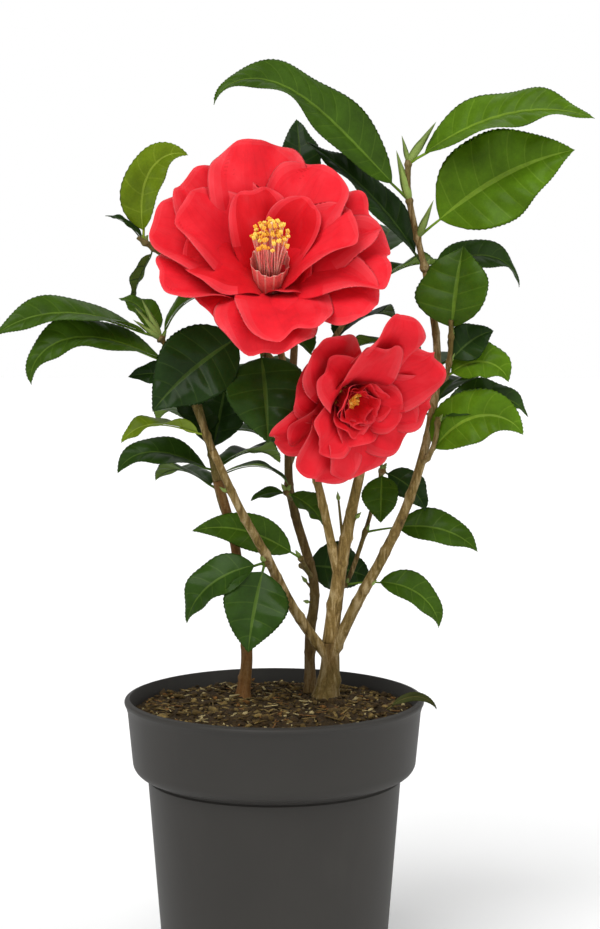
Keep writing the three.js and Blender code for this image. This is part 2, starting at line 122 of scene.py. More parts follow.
# a grid whose corners are moved to place(u, v); paint(column, row) picks each face's material
def addShell(bm, columns, rows, place, paint=None):
    start = len(bm.faces)
    corners = bmesh.ops.create_grid(bm, x_segments=columns, y_segments=rows, size=0.5, calc_uvs=True)["verts"]
    bm.faces.ensure_lookup_table()
    if paint:
        for k, face in enumerate(bm.faces[start:]):
            face.material_index = paint(k % columns, k // columns)
    for corner in corners:
        corner.co = place(corner.co.x + 0.5, corner.co.y + 0.5)
    bmesh.ops.remove_doubles(bm, verts=corners, dist=mergeGap)
    bm.faces.ensure_lookup_table()
    bmesh.ops.recalc_face_normals(bm, faces=bm.faces[start:])


# a round limb along a line, closed at both ends; radius(t, angle) gives its skin
def addTube(bm, line, radius, rings, sides, material=0):
    last = rings + 2
    nearby = 0.01
    frames = []
    for row in range(last + 1):
        t = clamp((row - 1) / rings)
        along = (line(min(t + nearby, 1)) - line(max(t - nearby, 0))).normalized()
        side = frontWay.cross(along)
        side = side.normalized() if side.length > 1e-4 else Vector((1, 0, 0))
        frames.append((line(t), side, side.cross(along), t))

    def place(u, v):
        row = round(v * last)
        centre, side, face, t = frames[row]
        angle = columnAngle(u, sides)
        reach = 0 if row in (0, last) else radius(t, angle)
        return centre + (side * math.cos(angle) + face * math.sin(angle)) * reach

    addShell(bm, sides, last, place, lambda column, row: material)


# the skin of a plain limb that tapers from one radius to another
def taper(first, last):
    return lambda t, angle: (first + (last - first) * t) * mm


def newMesh():
    bm = bmesh.new()
    bm.loops.layers.uv.new("UVMap")
    return bm


def meshOf(name, bm):
    mesh = bpy.data.meshes.new(name)
    bm.to_mesh(mesh)
    bm.free()
    return mesh


def addObject(name, data):
    added = bpy.data.objects.new(name, data)
    bpy.context.scene.collection.objects.link(added)
    return added


def newPiece(name, bm, materials, nodes=()):
    mesh = meshOf(name, bm)
    for material in materials:
        mesh.materials.append(material)
    mesh.shade_smooth()
    piece = addObject(name, mesh)
    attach(piece, "root")
    if nodes:
        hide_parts(*nodes)
    return piece


# materials: a node graph is built up from a few short calls
def newMaterial(name, values):
    material = bpy.data.materials.new(name)
    material.use_nodes = True
    shader = material.node_tree.nodes["Principled BSDF"]
    for socket, value in values.items():
        shader.inputs[socket].default_value = value
    return material, material.node_tree, shader


def addNode(tree, kind, inputs=None, **settings):
    node = tree.nodes.new(kind)
    for key, value in settings.items():
        setattr(node, key, value)
    for socket, value in (inputs or {}).items():
        if isinstance(value, bpy.types.NodeSocket):
            tree.links.new(value, node.inputs[socket])
        else:
            node.inputs[socket].default_value = value
    return node


def placeOf(tree, stretch=(1, 1, 1)):
    where = addNode(tree, "ShaderNodeTexCoord").outputs["Object"]
    return addNode(tree, "ShaderNodeMapping", {"Vector": where, "Scale": stretch}).outputs["Vector"]


# a noise is told as scale, detail, roughness and distortion
def noiseOf(tree, where, scale, detail, roughness, distortion=0.0):
    values = {"Scale": scale, "Detail": detail, "Roughness": roughness, "Distortion": distortion}
    return addNode(tree, "ShaderNodeTexNoise", {"Vector": where, **values}).outputs["Fac"]


def rampOf(tree, value, stops):
    ramp = addNode(tree, "ShaderNodeValToRGB", {"Fac": value})
    while len(ramp.color_ramp.elements) < len(stops):
        ramp.color_ramp.elements.new(0.5)
    for element, (position, colour) in zip(ramp.color_ramp.elements, stops):
        element.position = position
        element.color = (*colour, 1)
    return ramp.outputs["Color"]


# a colour that is darker where the value is low and lighter where it is high
def shadesOf(tree, value, colour, dark, light):
    return rampOf(tree, value, [(0.3, tint(colour, dark)), (0.5, colour), (0.72, tint(colour, light))])


def rangeOf(tree, value, low, high, start=0.0, end=1.0, **settings):
    values = {"Value": value, "From Min": start, "From Max": end, "To Min": low, "To Max": high}
    return addNode(tree, "ShaderNodeMapRange", values, **settings).outputs["Result"]


def mixOf(tree, share, first, second, blend="MIX"):
    inputs = {0: share, 6: first, 7: second}  # the share and the two colours
    return addNode(tree, "ShaderNodeMix", inputs, data_type="RGBA", blend_type=blend).outputs[2]


# what feeds the shader; bump is the strength and the depth of the height's relief
def wire(tree, shader, colour, rough=None, height=None, bump=(0, 0)):
    tree.links.new(colour, shader.inputs["Base Color"])
    if rough:
        tree.links.new(rough, shader.inputs["Roughness"])
    if height:
        values = {"Height": height, "Strength": bump[0], "Distance": bump[1]}
        tree.links.new(addNode(tree, "ShaderNodeBump", values).outputs["Normal"], shader.inputs["Normal"])


def tint(colour, share):
    return tuple(clamp(part * share) for part in colour)


def mixed(first, second, share):
    return tuple(a + (b - a) * share for a, b in zip(first, second))


# pot: a turned shell with a rolled lip, a deep collar over a groove, and drain holes
pot = {
    "height": 145,
    "rimRadius": 75,
    "collarDepth": 39,
    "collarFootRadius": 71,
    "collarRound": 7,
    "bodyRadius": 63.5,
    "footRadius": 55.5,
    "footRound": 2,
    "groove": 0.9,
    "grooveFoot": 1.5,
    "wall": 1.6,
    "floor": 2.2,
    "lip": 1.6,
    "drainHoles": 8,
    "drainRadius": 4.5,
    "drainCircle": 38,
    "drainSides": 24,
    "steps": 144,
    "sharpAngle": 38,
    "colour": (0.029, 0.0272, 0.0242),
    "dust": (0.055, 0.051, 0.044),
    "dustShare": 0.32,
    "rough": (0.46, 0.64),
    "specular": 0.22,
    "smear": (26, 6, 0.6, 0.4),
    "cloud": (9, 4, 0.5),
    "grain": (1500, 2, 0.6),
    "bump": (0.25, 0.00012),
}


def arcOf(centreRadius, centreHeight, reach, fromAngle, toAngle, steps):
    angles = [math.radians(fromAngle + (toAngle - fromAngle) * k / steps) for k in range(steps + 1)]
    return [(centreRadius + reach * math.cos(a), centreHeight + reach * math.sin(a)) for a in angles]


# the outline of the pot's wall, from the middle of its underside over the rim to the middle of its floor
def potProfile():
    top, wall, lip, turn, heel = (pot[part] for part in ("height", "wall", "lip", "collarRound", "footRound"))
    rim, collar, body, foot = (pot[f"{part}Radius"] for part in ("rim", "collarFoot", "body", "foot"))
    ledge = top - pot["collarDepth"]
    return [
        (0, 0),
        *arcOf(foot - heel, heel, heel, -90, 0, 5),
        (foot + (body - foot) * 0.5, ledge * 0.5),
        (body - 0.1, ledge - pot["grooveFoot"] - pot["groove"]),
        (body - pot["groove"], ledge - pot["grooveFoot"]),
        (body - pot["groove"], ledge + 0.1),
        *arcOf(collar - turn, ledge + turn, turn, -88, -3, 10),
        (rim - lip, top - 7),
        *arcOf(rim - lip, top - lip - 0.6, lip, -50, 90, 9),
        (rim - lip - 1, top - 0.2),
        (rim - lip - 1.4, top - 1.4),
        (collar - wall, ledge + turn + 1),
        (collar - wall - 2, ledge + turn * 0.4),
        (body - wall - 0.4, ledge - 1),
        (foot - wall, pot["floor"]),
        (0, pot["floor"]),
    ]


def potPlastic():
    material, tree, shader = newMaterial("potPlastic", {"Specular IOR Level": pot["specular"]})
    where = placeOf(tree)
    smear = noiseOf(tree, placeOf(tree, (1, 1, 0.25)), *pot["smear"])
    stops = [(0.3, tint(pot["colour"], 0.9)), (0.72, tint(pot["colour"], 1.16))]
    body = rampOf(tree, noiseOf(tree, where, *pot["cloud"]), stops)
    dusty = rangeOf(tree, smear, 0, pot["dustShare"], 0.56, 0.86)
    colour = mixOf(tree, dusty, body, (*pot["dust"], 1))
    grain = noiseOf(tree, where, *pot["grain"])
    wire(tree, shader, colour, rangeOf(tree, smear, *pot["rough"]), grain, pot["bump"])
    return material


def makePot():
    bm = newMesh()
    corners = [bm.verts.new((radius * mm, 0, height * mm)) for radius, height in potProfile()]
    edges = [bm.edges.new(pair) for pair in zip(corners, corners[1:])]
    bmesh.ops.spin(
        bm, geom=corners + edges, axis=upWay, cent=(0, 0, 0), angle=fullTurn,
        steps=pot["steps"], use_merge=True, use_duplicate=False,
    )
    bmesh.ops.remove_doubles(bm, verts=bm.verts[:], dist=1e-5)
    bmesh.ops.recalc_face_normals(bm, faces=bm.faces[:])
    piece = newPiece("potShell", bm, [potPlastic()], ["pot"])

    drill = bmesh.new()
    radius = pot["drainRadius"] * mm
    for k in range(pot["drainHoles"]):
        made = bmesh.ops.create_cone(
            drill, cap_ends=True, segments=pot["drainSides"], radius1=radius, radius2=radius,
            depth=4 * pot["floor"] * mm,
        )["verts"]
        middle = ringPoint(pot["drainCircle"] * mm, (k + 0.5) / pot["drainHoles"] * fullTurn)
        bmesh.ops.translate(drill, verts=made, vec=middle)
    drillObject = addObject("drill", meshOf("drill", drill))
    cut = piece.modifiers.new("drainHoles", "BOOLEAN")
    cut.object = drillObject
    cut.solver = "EXACT"
    drilled = bpy.data.meshes.new_from_object(piece.evaluated_get(bpy.context.evaluated_depsgraph_get()))
    piece.modifiers.clear()
    piece.data = drilled
    piece.data.set_sharp_from_angle(angle=math.radians(pot["sharpAngle"]))
    bpy.data.objects.remove(drillObject)


makePot()
print("pot made")


# peat: a low mound just under the rim, and what is strewn on it: chips of bark, pale specks, straws
soil = {
    "edgeLevel": 136.5,
    "crownLevel": 140.7,
    "crownRadius": 44,
    "edgeRadius": 71.2,
    "gap": 0.5,
    "lump": 2.2,
    "lumpScale": 200,
    "crumb": 1.3,
    "crumbScale": 520,
    "sides": 260,
    "rings": 90,
    "colour": (0.027, 0.016, 0.005),
    "rough": 0.95,
    "clods": (420, 6, 0.7),
    "grit": (1300, 5, 0.7),
    "bump": (0.8, 0.0005),
}
litter = {
    "seed": 11,
    "tints": [
        (0.036, 0.021, 0.006),
        (0.075, 0.047, 0.012),
        (0.145, 0.098, 0.030),
        (0.29, 0.23, 0.105),
        (0.13, 0.060, 0.014),
    ],
    "chips": 1500,
    "chipKnobs": (0.6, 1.3),
    "chipLength": (0.8, 2.3),
    "chipWidth": (0.35, 0.9),
    "chipHeight": (0.25, 0.6),
    "chipTints": [9, 6, 3, 0.8, 0.8],  # how often each tint falls on a chip
    "specks": 90,
    "speckSize": (0.3, 0.8),
    "speckTint": 3,
    "straws": 330,
    "strawLength": (2.5, 9),
    "strawWidth": (0.5, 1.4),
    "strawHeight": (0.2, 0.45),
    "strawTints": [3, 4, 2, 1.5],
}


def soilTop(x, y):
    slope = smoothStep(math.hypot(x, y), soil["crownRadius"], pot["rimRadius"])
    mound = soil["crownLevel"] + (soil["edgeLevel"] - soil["crownLevel"]) * slope
    lump = noise.noise(Vector((x, y, 0)) * mm * soil["lumpScale"])
    crumb = noise.noise(Vector((x, y, 7)) * mm * soil["crumbScale"])
    return mound + soil["lump"] * lump + soil["crumb"] * crumb


def soilMaterial(name, colour):
    material, tree, shader = newMaterial(name, {"Roughness": soil["rough"], "Specular IOR Level": 0.25})
    where = placeOf(tree)
    base = shadesOf(tree, noiseOf(tree, where, *soil["clods"]), colour, 0.35, 2.0)
    wire(tree, shader, base, None, noiseOf(tree, where, *soil["grit"]), soil["bump"])
    return material


def makeSoil():
    bm = newMesh()
    inset = pot["wall"] + soil["gap"]
    body, foot, collar = (pot[f"{part}Radius"] - inset for part in ("body", "foot", "collarFoot"))
    ledge = pot["height"] - pot["collarDepth"]
    low = pot["floor"] + soil["gap"]
    # down the inside of the pot to its floor
    wall = [(0, low), (foot, low), (body - 0.4, ledge - 0.4), (collar - 2, ledge + 3.6), (collar, ledge + 9)]
    rows = soil["rings"] + len(wall)

    def place(u, v):
        row = round(v * rows)
        angle = columnAngle(u, soil["sides"])
        if row < len(wall):
            reach, level = wall[row]
            return ringPoint(reach, angle, level) * mm
        reach = soil["edgeRadius"] * (rows - row) / soil["rings"]
        return ringPoint(reach, angle, soilTop(reach * math.cos(angle), reach * math.sin(angle))) * mm

    addShell(bm, soil["sides"], rows, place)
    newPiece("peatBed", bm, [soilMaterial("peat", soil["colour"])], ["soil"])


# a loose bit lies flat on the peat, turned and tilted a little
def layOn(bm, made, chance, reach, lift, tilt):
    r = reach * math.sqrt(chance.random())
    angle = chance.uniform(0, fullTurn)
    x, y = r * math.cos(angle), r * math.sin(angle)
    turn = Quaternion(upWay, chance.uniform(0, fullTurn))
    lean = Quaternion(ringPoint(1, angle), math.radians(chance.uniform(-tilt, tilt)))
    bmesh.ops.rotate(bm, verts=made, cent=(0, 0, 0), matrix=(lean @ turn).to_matrix())
    bmesh.ops.translate(bm, verts=made, vec=Vector((x, y, soilTop(x, y) + lift)) * mm)


# a length between two, and now and then a longer one
def oddLength(chance, lengths, share, stretch):
    return chance.uniform(*lengths) * (stretch if chance.random() < share else 1)


def makeChips(chance):
    bm = newMesh()
    for k in range(litter["chips"] + litter["specks"]):
        start = len(bm.faces)
        made = bmesh.ops.create_icosphere(bm, subdivisions=1, radius=mm)["verts"]
        for vert in made:
            vert.co *= chance.uniform(*litter["chipKnobs"])
        if k < litter["chips"]:
            length = oddLength(chance, litter["chipLength"], 0.16, 1.8)
            width = length * chance.uniform(*litter["chipWidth"])
            size = (length, width, length * chance.uniform(*litter["chipHeight"]))
            shade = chance.choices(range(5), litter["chipTints"])[0]
        else:
            size = [chance.uniform(*litter["speckSize"])] * 3
            shade = litter["speckTint"]
        bmesh.ops.scale(bm, verts=made, vec=size)
        layOn(bm, made, chance, soil["edgeRadius"] - 2.5, 0.3, 40)
        paintFrom(bm, start, shade)
    shades = [soilMaterial(f"barkChip{k}", colour) for k, colour in enumerate(litter["tints"])]
    newPiece("barkChips", bm, shades)


# straws: flat strips, a little bowed
def makeStraws(chance):
    bm = newMesh()
    for k in range(litter["straws"]):
        start = len(bm.faces)
        bmesh.ops.create_cube(bm, size=mm)
        bm.faces.ensure_lookup_table()
        edges = {edge for face in bm.faces[start:] for edge in face.edges}
        lengthwise = [edge for edge in edges if abs(edge.verts[0].co.x - edge.verts[1].co.x) > mm / 10]
        bmesh.ops.subdivide_edges(bm, edges=lengthwise, cuts=3, use_grid_fill=True)
        bm.faces.ensure_lookup_table()
        made = list({vert for face in bm.faces[start:] for vert in face.verts})
        bow, twist = chance.uniform(-0.5, 0.5), chance.uniform(-0.6, 0.6)
        for vert in made:
            along = vert.co.x / mm
            vert.co.y += (bow * along * along + 0.25 * twist * along) * mm
            vert.co.z += 0.6 * twist * along * along * mm
        length = oddLength(chance, litter["strawLength"], 0.15, 1.5)
        size = (length, chance.uniform(*litter["strawWidth"]), chance.uniform(*litter["strawHeight"]))
        bmesh.ops.scale(bm, verts=made, vec=size)
        layOn(bm, made, chance, soil["edgeRadius"] - 7, 0.7, 14)
        paintFrom(bm, start, chance.choices(range(4), litter["strawTints"])[0])
    shades = [soilMaterial(f"fibre{k}", colour) for k, colour in enumerate(litter["tints"][1:])]
    newPiece("peatFibres", bm, shades)


makeSoil()
litterChance = random.Random(litter["seed"])
makeChips(litterChance)
makeStraws(litterChance)
print("peat made")


# limbs: the path of the middle line, and the radius at its two ends
limbs = {
    "trunk": {
        "path": [[26, 15, 141], [28, 14, 157], [28, 13, 170]],
        "radii": [5.4, 4.2],
        "flare": 0.45,
    },
    "stem_back": {
        "path": [[18, 28, 141], [18, 30, 170], [20, 30, 197], [10, 30, 234], [7, 30, 259], [10, 33, 318]],
        "radii": [2.8, 1.9],
        "flare": 0.5,
    },
    "stem_left": {
        "path": [[-16, 15, 141], [-14, 15, 164], [-17, 17, 192], [-20, 16, 220], [-28, 8, 253]],
        "radii": [3.1, 2.2],
        "flare": 0.5,
    },
    "bough_centre": {
        "path": [[28, 13, 170], [33, 10, 208], [38, 10, 234], [44, 8, 262]],
        "radii": [4.0, 2.3],
    },
    "bough_left": {
        "path": [[27, 13, 162], [10, 5, 188], [-4, -5, 217], [-17, -12, 242], [-30, -15, 271]],
        "radii": [2.7, 1.9],
    },
    "bough_right": {
        "path": [
            [28, 13, 161], [41, 8, 190], [55, 2, 217], [68, 0, 247],
            [78, 4, 284], [81, 12, 318], [75, 10, 357],
        ],
        "radii": [3.0, 1.7],
    },
    "bough_centre_left": {
        "path": [[32, 10, 203], [25, 4, 238], [20, 4, 258], [14, 4, 280], [6, 2, 304]],
        "radii": [2.3, 1.7],
    },
}

bark = {
    "flareReach": 5,
    "ringStep": 1.1,
    "sides": 28,
    "ridge": 0.05,
    "ridgeScale": (520, 520, 90),
    "scarSpacing": 19,
    "scarPlace": (0.3, 0.9),
    "scarSlant": 0.5,
    "scarHeight": 0.24,
    "scarReach": 1.1,
    "knuckle": 0.15,
    "knuckleReach": 2.2,
    "deep": (0.075, 0.042, 0.010),
    "middle": (0.255, 0.165, 0.050),
    "pale": (0.50, 0.375, 0.185),
    "green": (0.155, 0.135, 0.026),
    "rust": (0.24, 0.085, 0.018),
    "rusts": {"stem_left": 0.7, "stem_back": 0.25, "trunk": 0.12},
    "moss": {"trunk": 0.5, "stem_back": 0.4},
    "shades": {"trunk": 0.56, "stem_left": 0.60, "stem_back": 0.42, "bough_left": 0.72, "bough_right": 0.72},
    "rough": (0.62, 0.88),
    "streaks": (330, 6, 0.65, 0.8),
    "patches": (70, 3, 0.5),
    "flecks": (1100, 3, 0.6),
    "bump": (0.7, 0.0009),
}


def barkMaterial(name, greenShare, shade=1.0, rust=0.0):
    material, tree, shader = newMaterial(name, {"Specular IOR Level": 0.15})
    streaks = noiseOf(tree, placeOf(tree, (1, 1, 0.22)), *bark["streaks"])
    patches = noiseOf(tree, placeOf(tree, (1, 1, 0.5)), *bark["patches"])
    flecks = noiseOf(tree, placeOf(tree), *bark["flecks"])
    tones = [tint(mixed(bark[part], bark["rust"], rust), shade) for part in ("deep", "middle", "pale")]
    base = rampOf(tree, streaks, list(zip((0.32, 0.49, 0.64), tones)))
    mossy = rangeOf(tree, patches, 0, greenShare, 0.4, 0.7)
    colour = mixOf(tree, mossy, base, (*tint(bark["green"], shade), 1))
    fleck = rampOf(tree, flecks, [(0.35, (0.72, 0.70, 0.68)), (0.6, (1.0, 1.0, 1.0))])
    colour = mixOf(tree, 0.8, colour, fleck, "MULTIPLY")
    wire(tree, shader, colour, rangeOf(tree, streaks, *bark["rough"]), streaks, bark["bump"])
    return material


# the skin of a limb: ridges along it, ring scars across it, and a swollen foot where it has one
def limbRadius(limb, line, length, seed):
    chance = random.Random(seed)
    count = int(length / bark["scarSpacing"])
    scars = [(k + chance.uniform(*bark["scarPlace"])) * bark["scarSpacing"] for k in range(count)]
    leans = [chance.uniform(0, fullTurn) for _ in scars]
    first, last = limb["radii"]
    flare = limb.get("flare", 0)
    scale = Vector(bark["ridgeScale"])

    def radius(t, angle):
        reach = first + (last - first) * t
        along = t * length
        swell = 1 + flare * math.exp(-along / bark["flareReach"])
        spot = line(t) + ringPoint(1, angle) * reach * mm
        ridge = noise.noise(Vector((spot.x * scale.x, spot.y * scale.y, spot.z * scale.z + seed)))
        skin = 1 + bark["ridge"] * ridge
        for scar, lean in zip(scars, leans):
            facing = math.cos(angle - lean)
            off = (along - scar - bark["scarSlant"] * facing) / bark["scarReach"]
            skin += bark["scarHeight"] / reach * math.exp(-off * off)
            skin += bark["knuckle"] * math.exp(-(off / bark["knuckleReach"]) ** 2) * max(0, facing) ** 3
        return reach * swell * skin * mm

    return radius


def makeLimbs():
    for k, (name, limb) in enumerate(limbs.items()):
        bm = newMesh()
        line = lineThrough(limb["path"])
        length = lengthOf(line) / mm
        rings = round(length / bark["ringStep"])
        addTube(bm, line, limbRadius(limb, line, length, 3 + k), rings, bark["sides"])
        shade = bark["shades"].get(name, 0.95)
        woody = barkMaterial(f"{name}Bark", bark["moss"].get(name, 0.25), shade, bark["rusts"].get(name, 0))
        newPiece(f"{name}Bark", bm, [woody], [name])


makeLimbs()
print("limbs made")


# sprays: the path of the stem and its radius at its two ends, then its leaves and buds.
# A leaf is [at, heading, rise, length, droop, roll, twist, width, bend, stalk]: how far along the
# stem it leaves, its heading and rise there, its length, how far its tip has bent down, how it is
# rolled about its midrib at its foot and how much more at its tip, its width as a share of its
# length, how late the bend comes, and the share of its length that is stalk where it isn't the
# usual one. A bud is [at, heading, rise, length]. Sown leaves are spread by the rule below, and
# greens are dealt to the leaves in turn.
sprays = {
    "spray_right_top": {
        "path": [[75, 10, 357], [69, 8, 381], [66, 6, 397], [66, 6, 412]],
        "radii": [1.6, 1.5],
        "leaves": [
            [0.95, 350, 35, 98, 55, 30, 5, 0.4, 1.6],
            [0.22, 350, 41, 90, 30, 75, 0, 0.64, 1.6, 0.16],
            [0.55, 195, 45, 126, 120, -68, 45, 0.31, 4.5],
            [0.02, 25, 15, 62, 100, 45, 0, 0.34, 2.6],
            [0.03, 180, 58, 86, 26, -32, 0, 0.34, 1.2],
        ],
        "buds": [[0.98, 200, 75, 14], [0.98, 0, 55, 25], [0.55, 190, 75, 27], [0.22, 330, 65, 22]],
        "greens": ["fresh", "fresh", "middle", "deep", "dark"],
    },
    "spray_right_mid": {
        "path": [[80, 8, 300], [85, 1, 306], [87, -3, 320], [87, -4, 334]],
        "radii": [1.4, 1.2],
        "leaves": [
            [0.8, 60, 78, 46, 10, 0, 0, 1.0, 1.6],
            [0.5, 10, 50, 28, 40, 60, 0, 0.8, 1.6],
            [0.3, 350, 40, 38, 115, 50, 0, 0.7, 1.6],
        ],
        "greens": ["middle", "dark", "fresh"],
    },
    "spray_right_low": {
        "path": [[72, 1, 261], [77, -2, 267], [80, -4, 276], [81, -4, 286]],
        "radii": [1.4, 1.2],
        "leaves": [
            [0.25, 345, 55, 60, 115, 65, 0, 0.55, 1.8],
            [0.9, 14, 40, 54, 100, 45, 0, 0.42, 1.6],
        ],
        "greens": ["fresh", "deep"],
    },
    "spray_low_right": {
        "path": [[32, 11, 196], [38, 18, 203], [47, 26, 228], [55, 26, 258]],
        "radii": [1.3, 1.0],
        "leaves": [
            [0.2, 355, 9, 59, 95, 45, 0, 0.46, 1.8, 0.3],
            [0.62, 350, 12, 61, 62, 50, 0, 0.46, 2, 0.28],
            [0.97, 265, -62, 27, 20, 10, 0, 0.8, 1.6],
            [0.97, 345, -22, 31, 50, 50, 0, 0.6, 1.6],
        ],
        "greens": ["middle", "middle", "middle", "dark"],
    },
    "spray_left": {
        "path": [[-30, -15, 271], [-41, -15, 299], [-48, -14, 315], [-56, -12, 327]],
        "radii": [1.8, 1.2],
        "leaves": [
            [0.95, 190, 24, 86, 62, 20, -85, 0.33, 1.8],
            [0.6, 190, 24, 88, 125, -5, -50, 0.34, 2.8],
            [0.97, 150, 60, 32, 60, -20, 0, 0.55, 1.6],
            [0.5, 175, 5, 27, 20, -60, 0, 0.5, 1.6],
            [0.95, 350, 75, 48, 100, 20, 0, 0.4, 1.2],
            [0.08, 185, 22, 46, 80, 60, -125, 0.42, 2],
        ],
        "buds": [[0.98, 150, 60, 22], [0.98, 180, 50, 20], [0.95, 190, 35, 18]],
        "greens": ["middle", "middle", "middle", "dark", "middle", "olive"],
    },
    "spray_left_low": {
        "path": [[-28, 8, 253], [-33, 6, 274], [-37, 6, 291]],
        "radii": [2.0, 1.2],
        "leaves": [
            [0.1, 185, 25, 55, 95, -10, -45, 0.42, 2.6],
            [0.3, 60, 65, 42, -10, 0, 0, 0.85, 1.6],
            [0.5, 130, 60, 34, 20, 0, 0, 0.9, 1.6],
            [0.05, 350, 28, 41, 90, 0, 0, 0.3, 1.6],
        ],
        "greens": ["deep", "dark", "dark", "deep"],
    },
    "spray_low_left": {
        "path": [[-1, -3, 212], [-3, -8, 214], [-5, -10, 214]],
        "radii": [1.2, 1.1],
        "leaves": [
            [0.9, 190, -10, 52, 70, -50, 15, 0.5, 1.6],
            [0.9, 245, -58, 46, 20, -30, 0, 0.8, 1.6],
        ],
        "greens": ["deep", "deep"],
    },
    "spray_low_centre": {
        "path": [[19, 30, 200], [16, 22, 206], [13, 14, 213]],
        "radii": [1.3, 1.1],
        "leaves": [[0.95, 193, 35, 60, 50, -75, 0, 0.35, 1.6]],
        "greens": ["middle"],
    },
    "spray_centre": {
        "path": [[14, 4, 279], [6, 2, 297], [-4, -4, 316], [-14, -8, 330]],
        "radii": [1.4, 1.1],
        "leaves": [
            [0.97, 200, -30, 62, 20, -65, 0, 0.7, 1.6],
            [0.75, 280, -50, 50, 35, 10, 0, 0.9, 1.6],
        ],
        "greens": ["dark", "deep"],
    },
    "spray_upper_left": {
        "path": [[9, 32, 299], [-14, 28, 326], [-42, 18, 354], [-67, 6, 374]],
        "radii": [1.6, 1.1],
        "leaves": [
            [0.96, 350, 95, 58, 118, 62, 0, 0.5, 2.4],
            [0.95, 180, 55, 25, 55, -20, 0, 0.32, 1.6],
            [0.9, 200, -60, 30, 20, 40, 0, 0.5, 1.6],
        ],
        "greens": ["olive", "dark", "dark"],
    },
    "spray_low_back": {
        "path": [[19, 30, 200], [16, 36, 203], [13, 40, 205]],
        "radii": [1.3, 1.1],
        "leaves": [[0.9, 5, -2, 37, 25, 60, 0, 0.8, 1.6]],
        "greens": ["dark"],
    },
    "spray_mid_back": {
        "path": [[9, 30, 240], [7, 23, 243], [6, 17, 246]],
        "radii": [1.2, 1.0],
        "leaves": [
            [0.9, 200, 5, 20, 40, -30, 0, 0.45, 1.6],
            [0.95, 345, -25, 26, 40, 20, 0, 0.8, 1.6],
        ],
        "greens": ["deep", "middle"],
    },
    "spray_back_top": {
        "path": [[10, 33, 318], [13, 36, 361], [14, 34, 392]],
        "radii": [1.7, 1.2],
        "leaves": [[0.95, 100, 80, 46, 30, 0, 0, 0.5, 1.6]],
        "sown": {"count": 7, "from": 0.15, "to": 0.95, "heading": 90, "length": 66, "rise": 35},
        "greens": ["dark"],
    },
    "spray_back_right": {
        "path": [[9, 32, 288], [24, 42, 312], [42, 50, 338], [56, 54, 362]],
        "radii": [1.6, 1.1],
        "sown": {"count": 7, "from": 0.3, "to": 0.97, "heading": 90, "length": 60, "rise": 35},
    },
    "spray_back_low": {
        "path": [[7, 30, 256], [10, 44, 264], [13, 58, 278], [14, 66, 296]],
        "radii": [1.5, 1.1],
        "sown": {"count": 6, "from": 0.3, "to": 0.97, "heading": 90, "length": 60, "rise": 25},
    },
    "spray_back_left": {
        "path": [[-20, 16, 222], [-28, 34, 240], [-33, 46, 262], [-36, 52, 284]],
        "radii": [1.5, 1.1],
        "sown": {"count": 5, "from": 0.4, "to": 0.97, "heading": 85, "length": 56, "rise": 25},
    },
    "spray_far_right": {
        "path": [[75, 3, 270], [79, 20, 280], [80, 36, 294], [78, 46, 312]],
        "radii": [1.5, 1.1],
        "sown": {"count": 6, "from": 0.4, "to": 0.97, "heading": 95, "length": 56, "rise": 25},
    },
}

sowing = {
    "goldenAngle": 137.5,
    "spread": 50,
    "jitter": 14,
    "lengthJitter": 0.2,
    "droop": 60,
    "width": 0.46,
    "bend": 1.6,
    "seed": 7,
    "greens": ["dark", "deep", "deep", "middle"],
}

leaf = {
    "seed": 5,
    "steps": 48,
    "fold": 14,
    "stalk": 0.1,
    "stalkRadius": 0.85,
    "footRise": 0.8,
    "tipFall": 1.15,
    "widest": 0.41,
    "thickness": 0.34,
    "veinSpacing": 8.2,
    "veinSweep": 0.13,
    "rowsInVein": [0.035, 0.17, 0.31, 0.45, 0.59, 0.73, 0.87, 0.965],
    "across": [-1, -0.93, -0.74, -0.5, -0.27, -0.055, 0, 0.055, 0.27, 0.5, 0.74, 0.93, 1],
    "fullReach": 14,  # the half width at which the relief below has its full size
    "quilt": 0.7,
    "dome": 0.055,
    "wave": 2.0,
    "waves": (1.4, 2.6),
    "tooth": 0.42,
    "ribRows": 18,
    "ribSides": 7,
    "tipReach": 3.0,
    "veinShow": 0.34,
    "cloud": (55, 4, 0.6),
    "specks": (900, 3, 0.6),
    "bumpDepth": 0.0002,
}

# greens: upper side, veins and under side, and the gloss of the upper side
greens = {
    "dark": [(0.012, 0.030, 0.005), (0.038, 0.070, 0.012), (0.075, 0.122, 0.020), 0.08],
    "deep": [(0.020, 0.048, 0.005), (0.054, 0.098, 0.013), (0.090, 0.148, 0.022), 0.07],
    "middle": [(0.036, 0.078, 0.005), (0.084, 0.148, 0.014), (0.110, 0.182, 0.024), 0.04],
    "fresh": [(0.068, 0.140, 0.005), (0.138, 0.230, 0.018), (0.135, 0.215, 0.026), 0.025],
    "olive": [(0.110, 0.165, 0.006), (0.200, 0.265, 0.024), (0.165, 0.225, 0.030), 0.02],
}


def leafLine(root, row):
    heading, rise, length, droop, bend = row[1], row[2], row[3], row[4], row[8]
    points = [root.copy()]
    for k in range(leaf["steps"]):
        step = wayOf(heading, rise - droop * ((k + 0.5) / leaf["steps"]) ** bend)
        points.append(points[-1] + step * length * mm / leaf["steps"])
    return points


def leafOutline(q):
    def level(x):
        return x ** leaf["footRise"] * (1 - x) ** leaf["tipFall"]

    return level(q) / level(leaf["widest"]) if 0 < q < 1 else 0


